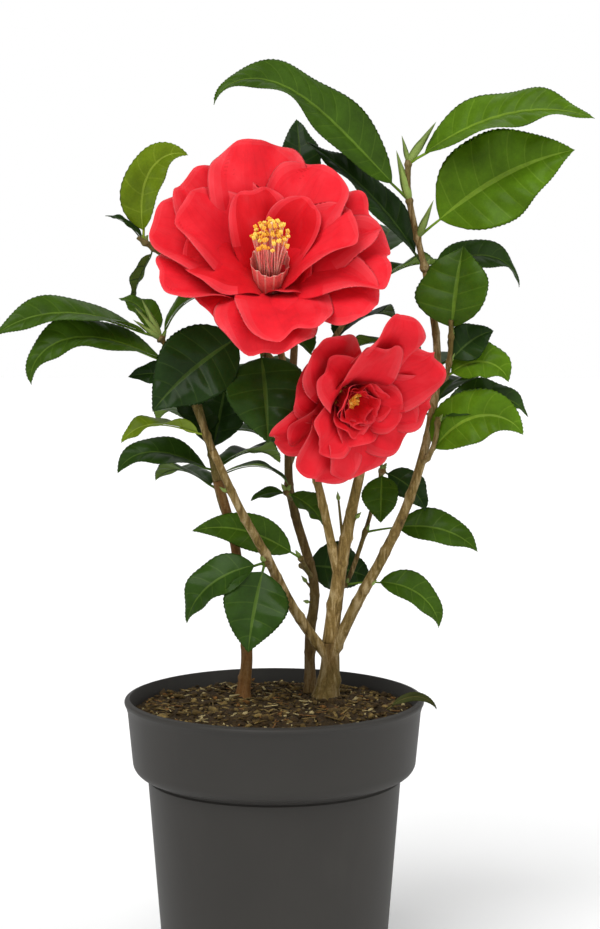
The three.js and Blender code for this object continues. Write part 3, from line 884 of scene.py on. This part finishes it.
# place(s, across, lift): a point of the blade, s along it, across in half widths, lift off its face
def leafPlacer(root, row):
    _, heading, rise, length, droop, roll, twist, width, bend = row[:9]
    stalk = row[9] if len(row) > 9 else leaf["stalk"]
    turn = math.radians(heading)
    fold = math.radians(leaf["fold"])
    points = leafLine(root, row)
    side = Vector((-math.sin(turn), math.cos(turn), 0))
    reach = width * length * (1 - stalk) / 2

    def place(s, across, lift, margin=0.0):
        e = math.radians(rise - droop * clamp(s) ** bend)
        r = math.radians(roll + twist * s)
        up = Vector((-math.sin(e) * math.cos(turn), -math.sin(e) * math.sin(turn), math.cos(e)))
        wide = side * math.cos(r) + up * math.sin(r)
        face = up * math.cos(r) - side * math.sin(r)
        half = leafOutline((s - stalk) / (1 - stalk)) * reach
        middle, _ = alongPoints(points, s)
        out = across * half + math.copysign(margin, across) * (half > 0)
        return middle + wide * out * math.cos(fold) * mm + face * (abs(out) * math.sin(fold) + lift) * mm

    return place, stalk, reach


def addLeaf(bm, root, row, chance, slots):
    place, stalk, reach = leafPlacer(root, row)
    upper, vein, under, rib = slots
    inVein = leaf["rowsInVein"]
    veins = max(4, round(row[3] * (1 - stalk) / leaf["veinSpacing"]))
    rowsAt = [0] + [(k + o) / veins for k in range(veins) for o in inVein][1:-1] + [1]
    veinStrip = 1.2 * 2 * inVein[0] / veins
    half = len(leaf["across"]) - 1
    rows = len(rowsAt) - 1
    phase, waves = chance.uniform(0, fullTurn), chance.uniform(*leaf["waves"])
    size = clamp(reach / leaf["fullReach"], 0.35, 1.15)

    # the blade swells between its veins, domes on each side of the midrib and waves at its margin
    def lifted(v, a):
        between = abs(math.sin(math.pi * v * veins))
        inside = math.sin(math.pi * clamp(abs(a))) ** 0.7 if abs(a) < 1 else 0
        ends = math.sin(math.pi * clamp(v, 0.02, 0.98))
        quilt = leaf["quilt"] * (between - 0.5) * inside * ends
        dome = leaf["dome"] * reach * math.sin(math.pi * abs(a)) * ends
        shift = phase + (1.2 if a > 0 else 0)
        wave = leaf["wave"] * a * a * math.sin(fullTurn * waves * v + shift) * ends
        return (quilt + dome + wave) * size

    def corner(u, v):
        a, side = bladeColumn(u, leaf["across"])
        row = round(v * rows)
        v = rowsAt[row]
        swept = v + leaf["veinSweep"] * abs(a) ** 1.25 * 4 * v * (1 - v) * (1 - 0.35 * v)
        lift = lifted(v, a) + side * leaf["thickness"] * (1 - abs(a) ** 3)
        tooth = leaf["tooth"] * size * (row % 2) if abs(a) == 1 and 0.05 < v < 0.97 else 0
        return place(stalk + (1 - stalk) * swept, a, lift, tooth)

    def paint(column, row):
        thin = rowsAt[row + 1] - rowsAt[row] < veinStrip and 0 < row < rows - 1
        if column % half in (half // 2 - 1, half // 2):
            return rib
        if column % half in (0, half - 1):
            return upper
        return vein if thin else (upper if column < half else under)

    addShell(bm, 2 * half, rows, corner, paint)

    # the stalk runs on as the midrib, proud of the under side
    def ribLine(t):
        s = 0.94 * t
        sink = leaf["stalkRadius"] * smoothStep(s, stalk * 0.6, stalk * 1.3) * (1 - 0.7 * t)
        return place(s, 0, -sink)

    def ribRadius(t, angle):
        return leaf["stalkRadius"] * (1 - 0.86 * t ** 0.6) * clamp(size + 0.15, 0.6, 1) * mm

    addTube(bm, ribLine, ribRadius, leaf["ribRows"], leaf["ribSides"], rib)


# the same run of chances as the one that the solids are sown by
def sowChances(seed):
    while True:
        seed = (seed * 1664525 + 1013904223) % 2 ** 32
        yield seed / 2 ** 32 - 0.5


def sow(rule, chances):
    rows = []
    for k in range(rule["count"]):
        at = rule["from"] + (rule["to"] - rule["from"]) * k / (rule["count"] - 1)
        swing = sowing["spread"] * math.cos(math.radians(k * sowing["goldenAngle"]))
        heading = rule["heading"] + swing + sowing["jitter"] * next(chances)
        rise = rule["rise"] + sowing["jitter"] * next(chances)
        length = rule["length"] * (1 + sowing["lengthJitter"] * next(chances))
        droop = sowing["droop"] + sowing["jitter"] * next(chances)
        roll = 2 * sowing["jitter"] * next(chances)
        rows.append([at, heading, rise, length, droop, roll, 0, sowing["width"], sowing["bend"]])
    return rows


# a leaf stands only where the solid of its spray has one too: its tip is then one of its corners
def standsIn(node, tip):
    near = leaf["tipReach"] * mm
    return any((vert.co - tip).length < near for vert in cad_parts[node].data.vertices)


def leafMaterial(name, colour, rough, gloss, grain):
    values = {"Coat Weight": gloss, "Coat Roughness": 0.17, "Specular IOR Level": 0.05}
    material, tree, shader = newMaterial(name, values)
    where = placeOf(tree)
    cloud = noiseOf(tree, where, *leaf["cloud"])
    speck = noiseOf(tree, where, *leaf["specks"])
    fine = rampOf(tree, speck, [(0.3, (0.86, 0.88, 0.84)), (0.65, (1, 1, 1))])
    base = mixOf(tree, 1.0, shadesOf(tree, cloud, colour, 0.72, 1.35), fine, "MULTIPLY")
    roughness = rangeOf(tree, cloud, rough - 0.07, rough + 0.09)
    wire(tree, shader, base, roughness, speck, (grain, leaf["bumpDepth"]))
    return material


def makeLeaves():
    chance = random.Random(leaf["seed"])
    chances = sowChances(sowing["seed"])
    finishes = {}
    for name, (top, vein, below, gloss) in greens.items():
        finishes[name] = [
            leafMaterial(f"{name}LeafTop", top, 0.36, gloss, 0.18),
            leafMaterial(f"{name}LeafVein", mixed(top, vein, leaf["veinShow"]), 0.38, gloss, 0.1),
            leafMaterial(f"{name}LeafUnder", below, 0.6, 0.0, 0.35),
            leafMaterial(f"{name}LeafRib", vein, 0.5, 0.05, 0.2),
        ]
    for name, spray in sprays.items():
        line = lineThrough(spray["path"])
        rows = spray.get("leaves", []) + (sow(spray["sown"], chances) if "sown" in spray else [])
        shown = spray.get("greens", [])
        bm = newMesh()
        slots = {}
        materials = []
        for k, row in enumerate(rows):
            root = line(row[0])
            green = shown[k] if k < len(shown) else chance.choice(sowing["greens"])
            if not standsIn(name, leafLine(root, row)[-1]):
                continue
            if green not in slots:
                slots[green] = [len(materials) + i for i in range(4)]
                materials += finishes[green]
            addLeaf(bm, root, row, chance, slots[green])
        newPiece(f"{name}Leaves", bm, materials, [name])


# twigs: the young wood that carries the leaves, swollen at each leaf, with a small bud in each axil
twig = {
    "seed": 9,
    "ringStep": 0.9,
    "sides": 14,
    "swell": 0.55,
    "swellReach": 1.3,
    "uneven": 0.08,
    "unevenScale": 700,
    "spurRadius": 0.9,
    "spurTip": 0.54,
    "spurBud": 4.6,
}

bud = {
    "length": 4.2,
    "thick": 0.95,
    "slender": 0.085,
    "sides": 12,
    "rows": 12,
    "bractRows": 8,
    "bractAcross": [k / 3 - 1 for k in range(7)],
    "bractSpread": 75,
    "bractTurn": 2.4,
    "green": (0.16, 0.22, 0.055),
}

# spurs: short bare shoots, each [limb, along it, heading, rise, length]
spurs = [
    ["bough_centre", 0.45, 180, 84, 25],
    ["bough_centre", 0.60, 330, 48, 7],
    ["stem_back", 0.37, 190, 52, 7],
    ["stem_back", 0.33, 230, 15, 5],
    ["stem_back", 0.62, 200, 65, 8],
    ["bough_right", 0.22, 330, 35, 4],
    ["bough_left", 0.30, 200, 70, 4],
    ["bough_left", 0.80, 200, 35, 5],
    ["bough_centre_left", 0.55, 200, 60, 6],
]


# a slim pointed bud, and bracts that clasp it one over another
def addBud(bm, root, along, length, thick, scales):
    turn = upWay.rotation_difference(along)

    def girth(t, least=0.0):
        return math.sin(math.pi * clamp(t, least) ** 0.62) ** 0.8 * (1 - 0.25 * t)

    def skin(u, v):
        point = ringPoint(thick * girth(v), columnAngle(u, bud["sides"]), length * (v - 0.04))
        return root + turn @ point * mm

    addShell(bm, bud["sides"], bud["rows"], skin, lambda column, row: 0)
    for k in range(scales):
        spin = k * bud["bractTurn"]
        top = 0.42 + 0.42 * k / max(1, scales - 1)

        def bract(u, v):
            a, side = bladeColumn(u, bud["bractAcross"])
            up = round(v * bud["bractRows"]) / bud["bractRows"]
            t = up * top
            angle = spin + math.radians(bud["bractSpread"]) * (1 - up ** 2.5) * a
            reach = thick * girth(t, 0.02)
            reach += (0.16 if side > 0 else 0.02) * (1 - abs(a) ** 3) + 0.10
            return root + turn @ ringPoint(reach, angle, length * (t - 0.02)) * mm

        addShell(bm, 2 * (len(bud["bractAcross"]) - 1), bud["bractRows"], bract, lambda column, row: 1)


def twigRadius(spray, line, length):
    first, last = spray["radii"]
    spots = [row[0] * length for row in spray.get("leaves", [])]

    def radius(t, angle):
        reach = first + (last - first) * t
        for spot in spots:
            reach += twig["swell"] * math.exp(-((t * length - spot) / twig["swellReach"]) ** 2)
        spot = line(t) * twig["unevenScale"] + ringPoint(1, angle)
        return reach * (1 + twig["uneven"] * noise.noise(spot)) * mm

    return radius


def makeTwigs():
    chance = random.Random(twig["seed"])
    wood = newMesh()
    buds = newMesh()
    for name, spray in sprays.items():
        line = lineThrough(spray["path"])
        length = lengthOf(line) / mm
        rings = max(8, round(length / twig["ringStep"]))
        addTube(wood, line, twigRadius(spray, line, length), rings, twig["sides"])
        for row in spray.get("leaves", []):
            heading = math.radians(row[1])
            way = Vector((math.cos(heading) * 0.6, math.sin(heading) * 0.6, 1)).normalized()
            root = line(row[0]) + way * 1.2 * mm
            addBud(buds, root, way, bud["length"] * chance.uniform(0.7, 1.2), bud["thick"], 2)
        for at, heading, rise, size in spray.get("buds", []):
            along = wayOf(heading, rise)
            if standsIn(name, line(at) + along * size * 0.96 * mm):
                addBud(buds, line(at), along, size, size * bud["slender"], 4)
    for limb, at, heading, rise, size in spurs:
        along = wayOf(heading, rise)
        root = lineThrough(limbs[limb]["path"])(at)
        tip = root + along * size * mm
        addTube(wood, lambda t: root.lerp(tip, t), taper(twig["spurRadius"], twig["spurTip"]), 12, 10)
        addBud(buds, tip, along, twig["spurBud"], twig["spurRadius"], 3)
    newPiece("youngTwigs", wood, [barkMaterial("youngBark", 0.75, 0.6)], list(sprays))
    budGreen = leafMaterial("budGreen", bud["green"], 0.5, 0.1, 0.2)
    bractGreen = leafMaterial("bractGreen", tint(bud["green"], 1.25), 0.55, 0.05, 0.2)
    newPiece("leafBuds", buds, [budGreen, bractGreen])


# a shed leaf, dried and curled, lies on the peat and over the rim
shed = {
    "root": (56, -19, 142.2),
    "row": [0, 14, 38, 30, 105, 40, 60, 0.17, 1.5],
    "seed": 3,
    "top": (0.035, 0.040, 0.010),
    "under": (0.09, 0.075, 0.022),
}


def makeShedLeaf():
    bm = newMesh()
    addLeaf(bm, Vector(shed["root"]) * mm, shed["row"], random.Random(shed["seed"]), (0, 0, 1, 1))
    top = leafMaterial("shedTop", shed["top"], 0.6, 0, 0.4)
    under = leafMaterial("shedUnder", shed["under"], 0.7, 0, 0.4)
    newPiece("shedLeaf", bm, [top, under])


makeLeaves()
makeShedLeaf()
print("leaves made")
makeTwigs()
print("twigs made")


# blooms: the stalk, the axis the bloom opens along, the radius its petals start from, its stamens,
# and its petals. A petal is [turn, length, open at its foot, open at its tip, width, cup].
blooms = {
    "bloom_upper": {
        "path": [[6, 2, 304], [2, -8, 326], [-2, -22, 348]],
        "radii": [1.6, 2.2],
        "axis": [0.02, -0.73, 0.68],
        "heart": 5,
        "column": 42,
        "columnRadii": [4, 7],
        "petals": [
            [352, 76, 20, 80, 60, 35],
            [64, 67, 22, 88, 54, 35],
            [92, 68, 22, 95, 60, 35],
            [122, 65, 25, 95, 46, 40],
            [184, 59, 25, 100, 60, 40],
            [236, 44, 25, 95, 46, 40],
            [260, 63, 22, 95, 46, 35],
            [288, 70, 22, 88, 52, 35],
            [316, 71, 20, 82, 52, 35],
            [34, 69, 15, 68, 54, 45],
            [296, 65, 15, 68, 52, 50],
            [264, 53, 15, 80, 46, 50],
            [168, 62, 18, 88, 56, 45],
            [80, 63, 12, 60, 46, 60],
            [344, 54, 10, 50, 40, 55],
            [44, 54, 8, 45, 34, 70],
            [120, 32, 8, 60, 34, 60],
        ],
    },
    "bloom_lower": {
        "path": [[44, 8, 262], [38, 0, 282], [30, -12, 301]],
        "radii": [1.8, 2.2],
        "axis": [0.5, -0.8, -0.3],
        "heart": 4,
        "column": 26,
        "columnRadii": [3.5, 6],
        "show": 0.42,
        "folds": 13,
        "petals": [
            [3, 71, 20, 75, 40, 45],
            [48, 58, 20, 70, 42, 40],
            [84, 49, 20, 75, 40, 40],
            [116, 43, 20, 70, 44, 40],
            [176, 46, 20, 80, 42, 45],
            [208, 50, 22, 95, 44, 40],
            [224, 40, 25, 110, 40, 40],
            [288, 34, 25, 105, 42, 40],
            [320, 48, 22, 100, 44, 40],
            [236, 46, 30, 125, 30, 40],
            [352, 58, 15, 65, 40, 50],
            [176, 34, 8, 45, 34, 60],
            [232, 41, 12, 70, 36, 60],
            [92, 37, 10, 45, 34, 60],
            [316, 46, 14, 80, 36, 60],
        ],
    },
}

petal = {
    "seed": 21,
    "steps": 40,
    "across": [-1, -0.955, -0.87, -0.72, -0.54, -0.36, -0.18, 0, 0.18, 0.36, 0.54, 0.72, 0.87, 0.955, 1],
    "rows": 30,
    "thickness": 0.55,
    "fullWidth": 46,  # the width at which the relief below has its full size
    "ruffle": 2.9,
    "ruffleBeat": (4.5, 7.5),
    "crimp": 0.7,
    "crimpBeat": (9, 14),
    "buckle": 2.5,
    "buckleBeat": (0.7, 1.3),
    "crease": 0.8,
    "vein": 0.10,
    "notch": 0.03,
    "notches": [0, 0.3, 1, 1.8],
    "rollBack": 2.0,
    "tipBack": 2.2,
    "longLength": 55,
    "foldLength": (23, 9),
    "foldOpen": (4, 3, 16, 26),
    # the reds go darker from outer to middle to inner as painted shade: the darker ones go on the petals'
    # under sides, the shorter inner petals and the folds
    "outer": (0.73, 0.012, 0.023),
    "middle": (0.64, 0.007, 0.014),
    "inner": (0.50, 0.004, 0.008),
    # rim: the margins' paler pink, partly their own colour and partly painted highlight; pales: its share in
    # the three steps in from the margin
    "rim": (0.88, 0.13, 0.15),
    "pales": [0.30, 0.20, 0.10],
    "rough": (0.48, 0.66),
    "fan": (46, 1.6, 1),
    "veins": (1.6, 4, 0.6, 0.3),
    "cloud": (60, 4, 0.6),
    "grain": (1500, 3, 0.6),
    "bump": (0.35, 0.0004),
}


def heartOf(bloom):
    return Vector(bloom["path"][-1]) * mm


def petalOutline(s):
    return clamp(s) ** 0.55 * math.sqrt(max(0, 1 - clamp(s) ** 3.2)) / 0.8


# the middle line of a petal opens away from the axis of the bloom as it runs out
def petalPlacer(bloom, row, foot):
    turn, length, openFoot, openTip, width, cup = row
    axis = Vector(bloom["axis"]).normalized()
    level = (upWay - axis * upWay.dot(axis)).normalized()
    out = Quaternion(axis, -math.radians(turn)) @ level
    side = axis.cross(out)

    def opening(s):
        return math.radians(openFoot + (openTip - openFoot) * clamp(s) ** 0.8)

    points = [heartOf(bloom) + out * foot * mm]
    for k in range(petal["steps"]):
        a = opening((k + 0.5) / petal["steps"])
        points.append(points[-1] + (axis * math.cos(a) + out * math.sin(a)) * length * mm / petal["steps"])

    def place(s, across, lift, push=0.0):
        a = opening(s)
        face = axis * math.sin(a) - out * math.cos(a)
        half = width / 2 * max(petalOutline(s), 0.08 if s < 0.5 else 0)
        curl = width / 2 / math.radians(cup * (1 - 0.45 * s))
        arc = across * half / curl
        middle, stretch = alongPoints(points, s)
        rise = curl * (1 - math.cos(arc)) + lift
        return middle + (side * curl * math.sin(arc) + face * rise + stretch.normalized() * push) * mm

    return place


def addPetal(bm, bloom, row, foot, chance, slots):
    place = petalPlacer(bloom, row, foot)
    upper, under, *pales = slots
    length, width = row[1], row[4]
    half = len(petal["across"]) - 1
    rows = petal["rows"]
    phase = [chance.uniform(0, fullTurn) for _ in range(6)]
    beat = [chance.uniform(*petal[part]) for part in ("ruffleBeat", "crimpBeat", "buckleBeat")]
    notch = petal["notch"] * chance.choice(petal["notches"])
    sideShare, tipShare = chance.uniform(0.2, 1.2), chance.uniform(-0.2, 1.2)
    size = clamp(width / petal["fullWidth"], 0.45, 1.2)
    rowsAt = [math.sin(math.pi / 2 * k / rows) ** 0.92 for k in range(rows + 1)]

    # the margin waves along its own turn round the tip, so that both sides meet there smoothly
    def lifted(s, a):
        w = a * petalOutline(s)
        ahead = (s - 0.3) / 0.7
        bearing = math.atan2(w, max(ahead, 0.02))
        edge = smoothStep(math.hypot(w, max(ahead, 0)), 0.5, 1.0) * smoothStep(s, 0.15, 0.55)
        fold = smoothStep(s, 0.1, 0.4) * (1 - smoothStep(s, 0.6, 0.92))
        ruffle = petal["ruffle"] * edge * math.sin(beat[0] * bearing + phase[0])
        crimp = petal["crimp"] * edge ** 2 * math.sin(beat[1] * bearing + phase[1])
        buckle = petal["buckle"] * math.sin(math.pi * beat[2] * (s + 0.4 * a) + phase[2])
        crease = petal["crease"] * math.exp(-(w / 0.10) ** 2) * fold
        vein = petal["vein"] * math.sin(9 * math.pi * w + 0.8 * math.sin(5 * s + phase[3])) * edge
        back = petal["rollBack"] * sideShare * smoothStep(abs(w), 0.5, 0.88) ** 1.5
        tipBack = petal["tipBack"] * tipShare * smoothStep(s, 0.82, 1) ** 1.6
        swell = buckle * math.sin(math.pi * clamp(s))
        return (ruffle + crimp + swell - crease + vein - back - tipBack) * size

    def corner(u, v):
        a, side = bladeColumn(u, petal["across"])
        row = round(v * rows)
        s = rowsAt[row]
        thick = petal["thickness"] * (1 - abs(a) ** 4) * (1 - 0.55 * smoothStep(s, 0.5, 1)) * (0 < row < rows)
        dip = -notch * length * math.exp(-(a * petalOutline(s) / 0.16) ** 2) * smoothStep(s, 0.86, 1)
        return place(s, a, lifted(s, a) + side * thick, dip)

    # the margin pales in three steps: on petals a paler pink, partly the margin's own colour and partly
    # painted highlight where the edges catch the light
    def paint(column, row):
        inward = min(column % half, half - 1 - column % half)
        near = min(inward if row > rows * 0.3 else half, (rows - 1 - row) // 2)
        if near < len(pales):
            return pales[near]
        return upper if column < half else under

    addShell(bm, 2 * half, rows, corner, paint)


# velvet red, darker and lighter in random clouds whose lightest parts turn pinker as a painted sheen
# highlight, with faint veins that run out from its foot
def petalMaterial(name, colour, pale=0.0):
    material, tree, shader = newMaterial(name, {
        "Sheen Weight": 0.06,
        "Sheen Roughness": 0.4,
        "Sheen Tint": (1.0, 0.45, 0.45, 1),
        "Subsurface Weight": 0.10,
        "Subsurface Scale": 0.004,
        "Subsurface Radius": (1.0, 0.25, 0.2),
        "Specular IOR Level": 0.12,
    })
    grid = addNode(tree, "ShaderNodeUVMap", uv_map="UVMap").outputs["UV"]
    fan = addNode(tree, "ShaderNodeMapping", {"Vector": grid, "Scale": petal["fan"]}).outputs["Vector"]
    where = placeOf(tree)
    veins = noiseOf(tree, fan, *petal["veins"])
    cloud = noiseOf(tree, where, *petal["cloud"])
    # the lightest clouds lean toward the rim pink, a painted sheen highlight
    paintedSheen = mixed(colour, petal["rim"], 0.12)
    base = rampOf(tree, cloud, [(0.3, tint(colour, 0.86)), (0.5, colour), (0.72, paintedSheen)])
    line = rampOf(tree, veins, [(0.34, (0.88, 0.76, 0.78)), (0.5, (1, 1, 1)), (0.75, (1.0, 0.97, 0.97))])
    red = mixOf(tree, 0.5, base, line, "MULTIPLY")
    # pale mixes in the rim pink: partly the margin's own paler colour and partly painted highlight
    if pale:
        red = mixOf(tree, pale, red, (*petal["rim"], 1))
    height = mixOf(tree, 0.5, veins, noiseOf(tree, where, *petal["grain"]))
    wire(tree, shader, red, rangeOf(tree, cloud, *petal["rough"]), height, petal["bump"])
    return material


def makePetals():
    chance = random.Random(petal["seed"])
    materials = [petalMaterial(f"petal{part.title()}", petal[part]) for part in ("outer", "middle", "inner")]
    for k, share in enumerate(petal["pales"]):
        materials.append(petalMaterial(f"petalRimAndHighlight{k}", petal["outer"], share))
    for name, bloom in blooms.items():
        bm = newMesh()
        for row in bloom["petals"]:
            # long petals take the outer red and the rest the darker middle red as painted shade; every petal
            # of the down-turned lower bloom takes the lighter outer red, painted light that makes up for its
            # facing down
            shade = 0 if row[1] > petal["longLength"] or name == "bloom_lower" else 1
            addPetal(bm, bloom, row, bloom["heart"] * 0.5, chance, (shade, shade + 1, 3, 4, 5))
        # small folded petals crowd its middle
        shortest, gain = petal["foldLength"]
        openFoot, footGain, openTip, tipGain = petal["foldOpen"]
        for k in range(bloom.get("folds", 0)):
            share = k / bloom["folds"]
            size = shortest + gain * share + chance.uniform(-2, 2)
            opening = [openFoot + footGain * share, openTip + tipGain * share]
            row = [k * sowing["goldenAngle"], size, *opening, size * 0.92, chance.uniform(70, 95)]
            # the folds take the middle red above and the inner red below, painted shade deep in the bloom
            addPetal(bm, bloom, row, bloom["heart"] * 0.4, chance, (1, 2, 3, 4, 5))
        newPiece(f"{name}Petals", bm, materials, [name])


# stamens: filaments in a bundle, grown together low down in a ragged cup, with an anther on each
stamen = {
    "seed": 4,
    "filaments": 74,
    "spiral": 2.39996,
    "marks": (0, 0.35, 0.7, 1),
    "radius": 0.42,
    "tipRadius": 0.26,
    "antherLength": 2.7,
    "antherRadius": 0.78,
    "start": 3,
    "reach": 1.16,
    "spread": 1.28,
    "stray": 0.18,
    "lean": 0.6,
    "styleRadius": 0.9,
    "styleTip": 0.585,
    "cupHeight": 0.47,
    "cupSpread": 1.62,
    "cupRag": 2.0,
    "cupRibs": 15,
    "cupSides": 64,
    "cupRows": 18,
    "filament": (0.84, 0.27, 0.24),
    "pale": (0.93, 0.55, 0.44),
    "anther": (0.86, 0.40, 0.03),
    "pollen": (0.93, 0.62, 0.10),
    "style": (0.86, 0.55, 0.30),
    "cup": (0.86, 0.22, 0.20),
    "cloud": (600, 3, 0.6),
    "bump": (0.3, 0.0002),
}


def stamenSpot(bloom, turn, share, angle, t, top):
    low, high = bloom["columnRadii"]
    reach = share * (low + (high * stamen["spread"] - low) * t ** 1.4)
    return turn @ ringPoint(reach, angle, stamen["start"] + top * t) + heartOf(bloom) / mm


def addAnther(bm, spot, way, shade):
    thin = stamen["antherRadius"]
    spin = upWay.rotation_difference(way).to_matrix()
    for half in (-1, 1):
        first = len(bm.faces)
        made = bmesh.ops.create_icosphere(bm, subdivisions=2, radius=mm)["verts"]
        paintFrom(bm, first, shade)
        bmesh.ops.scale(bm, verts=made, vec=(thin * 0.75, thin, stamen["antherLength"] / 2))
        bmesh.ops.translate(bm, verts=made, vec=(half * thin * 0.55 * mm, 0, 0))
        bmesh.ops.rotate(bm, verts=made, cent=(0, 0, 0), matrix=spin)
        bmesh.ops.translate(bm, verts=made, vec=spot)


# slots: the cup's own colour, and that of the pale lines down it
def addCup(bm, bloom, turn, top, slots):
    sides, rows = stamen["cupSides"], stamen["cupRows"]

    def place(u, v):
        angle = columnAngle(u, sides)
        row = round(v * 2 * rows)
        outside = row <= rows
        t = (row if outside else 2 * rows - row) / rows
        rag = stamen["cupRag"] * noise.noise(ringPoint(3, angle, top)) * t ** 3
        rib = 1 + 0.035 * math.sin(stamen["cupRibs"] * angle) * t
        spot = stamenSpot(bloom, turn, stamen["cupSpread"] * rib, angle, t * stamen["cupHeight"], top)
        wall = (0.45 if outside else -0.05) * (1 - t ** 4)
        return (spot + turn @ ringPoint(1, angle) * wall + (turn @ upWay) * rag) * mm

    addShell(bm, sides, 2 * rows, place, lambda column, row: slots[column % 5 == 0])


def makeStamens():
    chance = random.Random(stamen["seed"])
    threads = newMesh()
    anthers = newMesh()
    for bloom in blooms.values():
        turn = upWay.rotation_difference(Vector(bloom["axis"]).normalized())
        length = bloom["column"] * stamen["reach"] * bloom.get("show", 1)
        for k in range(stamen["filaments"]):
            share = math.sqrt((k + 0.5) / stamen["filaments"])
            angle = k * stamen["spiral"] + chance.uniform(-0.2, 0.2)
            top = length * (1 - 0.16 * share * share + chance.uniform(-0.10, 0.04))
            swing = [angle + stamen["stray"] * math.sin(3 * t + k) for t in stamen["marks"]]
            path = [stamenSpot(bloom, turn, share, a, t, top) for a, t in zip(swing, stamen["marks"])]
            line = lineThrough(path)
            slot = 0 if chance.random() < 0.6 else 1
            addTube(threads, line, taper(stamen["radius"], stamen["tipRadius"]), 10, 6, slot)
            way = (line(1) - line(0.9)).normalized()
            side = way.cross(Vector([chance.uniform(-1, 1) for _ in range(3)])).normalized()
            shade = 0 if chance.random() < 0.55 else 1
            addAnther(anthers, line(1), (way + side * stamen["lean"]).normalized(), shade)
        style = lineThrough([stamenSpot(bloom, turn, 0.05, 0, t, length) for t in (0, 0.5, 1.04)])
        addTube(threads, style, taper(stamen["styleRadius"], stamen["styleTip"]), 16, 8, 2)
        addCup(threads, bloom, turn, length, (3, 1))
    tones = [waxyMaterial(name, stamen[name], 0.5) for name in ("filament", "pale", "style", "cup")]
    newPiece("filaments", threads, tones)
    tones = [waxyMaterial(name, stamen[name], 0.85) for name in ("anther", "pollen")]
    newPiece("anthers", anthers, tones)


def waxyMaterial(name, colour, rough):
    values = {"Roughness": rough, "Subsurface Weight": 0.1, "Subsurface Scale": 0.001}
    material, tree, shader = newMaterial(name, values)
    cloud = noiseOf(tree, placeOf(tree), *stamen["cloud"])
    wire(tree, shader, shadesOf(tree, cloud, colour, 0.8, 1.12), None, cloud, stamen["bump"])
    return material


# calyx: bracts that hold the bloom from below, each a small petal with a brown rim, and the stalk
calyx = {
    "seed": 2,
    "bracts": 6,
    "row": [15, 120, 35, 15, 60],
    "turn": 60,
    "firstTurn": 20,
    "green": (0.15, 0.20, 0.06),
    "brown": (0.16, 0.10, 0.05),
}


def makeCalyx():
    bm = newMesh()
    stalks = newMesh()
    chance = random.Random(calyx["seed"])
    length, *shape = calyx["row"]
    for bloom in blooms.values():
        for k in range(calyx["bracts"]):
            row = [calyx["turn"] * k + calyx["firstTurn"], length * chance.uniform(0.85, 1.15), *shape]
            addPetal(bm, bloom, row, bloom["heart"] * 0.4, chance, (0, 0, 1, 0, 0))
        addTube(stalks, lineThrough(bloom["path"]), taper(*bloom["radii"]), 26, 12)
    green = leafMaterial("calyxGreen", calyx["green"], 0.5, 0.1, 0.3)
    rim = leafMaterial("calyxRim", calyx["brown"], 0.6, 0.0, 0.3)
    newPiece("bloomCalyx", bm, [green, rim])
    newPiece("bloomStalks", stalks, [barkMaterial("stalkBark", 0.9)])


makePetals()
makeStamens()
makeCalyx()
print("blooms made")


# a pale floor, soft studio light and the camera
stage = {
    "floorSide": 6.0,
    "floor": (0.96, 0.96, 0.96),
    "floorCloud": (3, 3, 0.5),
    "worldLow": 1.0,
    "worldHigh": 0.28,
    "worldTurn": (0.12, 0.34),
    "lens": 115.87,
    "nearest": 0.05,
    "cameraAt": (0.01287, -1.4694, 0.4538),
    "cameraPitch": 82.56,
    "suns": [
        ("keySun", (-0.42, -0.85, 1.15), 2.4, 45),
        ("fillSun", (0.8, -0.5, 0.6), 0.9, 60),
        ("backSun", (0.1, 0.8, 1.2), 0.6, 50),
    ],
}


def makeFloor():
    bm = newMesh()
    bmesh.ops.create_grid(bm, x_segments=1, y_segments=1, size=stage["floorSide"] / 2, calc_uvs=True)
    floor = addObject("floor", meshOf("floor", bm))
    material, tree, shader = newMaterial("paleFloor", {"Roughness": 0.9})
    cloud = noiseOf(tree, placeOf(tree), *stage["floorCloud"])
    wire(tree, shader, rampOf(tree, cloud, [(0.3, tint(stage["floor"], 0.985)), (0.7, stage["floor"])]))
    floor.data.materials.append(material)


# the light of the room is brightest level with the plant and softer from above and below
def makeWorld():
    world = bpy.data.worlds.new("studio")
    world.use_nodes = True
    tree = world.node_tree
    back = tree.nodes["Background"]
    way = addNode(tree, "ShaderNodeNewGeometry").outputs["Normal"]
    height = addNode(tree, "ShaderNodeSeparateXYZ", {"Vector": way}).outputs["Z"]
    size = addNode(tree, "ShaderNodeMath", {0: height}, operation="ABSOLUTE").outputs["Value"]
    ends = (stage["worldLow"], stage["worldHigh"], *stage["worldTurn"])
    bright = rangeOf(tree, size, *ends, interpolation_type="SMOOTHSTEP")
    back.inputs["Color"].default_value = (1, 1, 1, 1)
    tree.links.new(bright, back.inputs["Strength"])
    bpy.context.scene.world = world


def makeLights():
    for name, way, power, wide in stage["suns"]:
        light = bpy.data.lights.new(name, "SUN")
        light.energy = power
        light.angle = math.radians(wide)
        sun = addObject(name, light)
        sun.rotation_euler = Vector(way).to_track_quat("Z", "Y").to_euler()


def makeCamera():
    lens = bpy.data.cameras.new("camera")
    lens.lens = stage["lens"]
    lens.clip_start = stage["nearest"]
    camera = addObject("camera", lens)
    camera.location = stage["cameraAt"]
    camera.rotation_euler = (math.radians(stage["cameraPitch"]), 0, 0)
    bpy.context.scene.camera = camera


makeFloor()
makeWorld()
makeLights()
makeCamera()
bpy.context.scene.view_settings.view_transform = "Standard"
print("stage made")
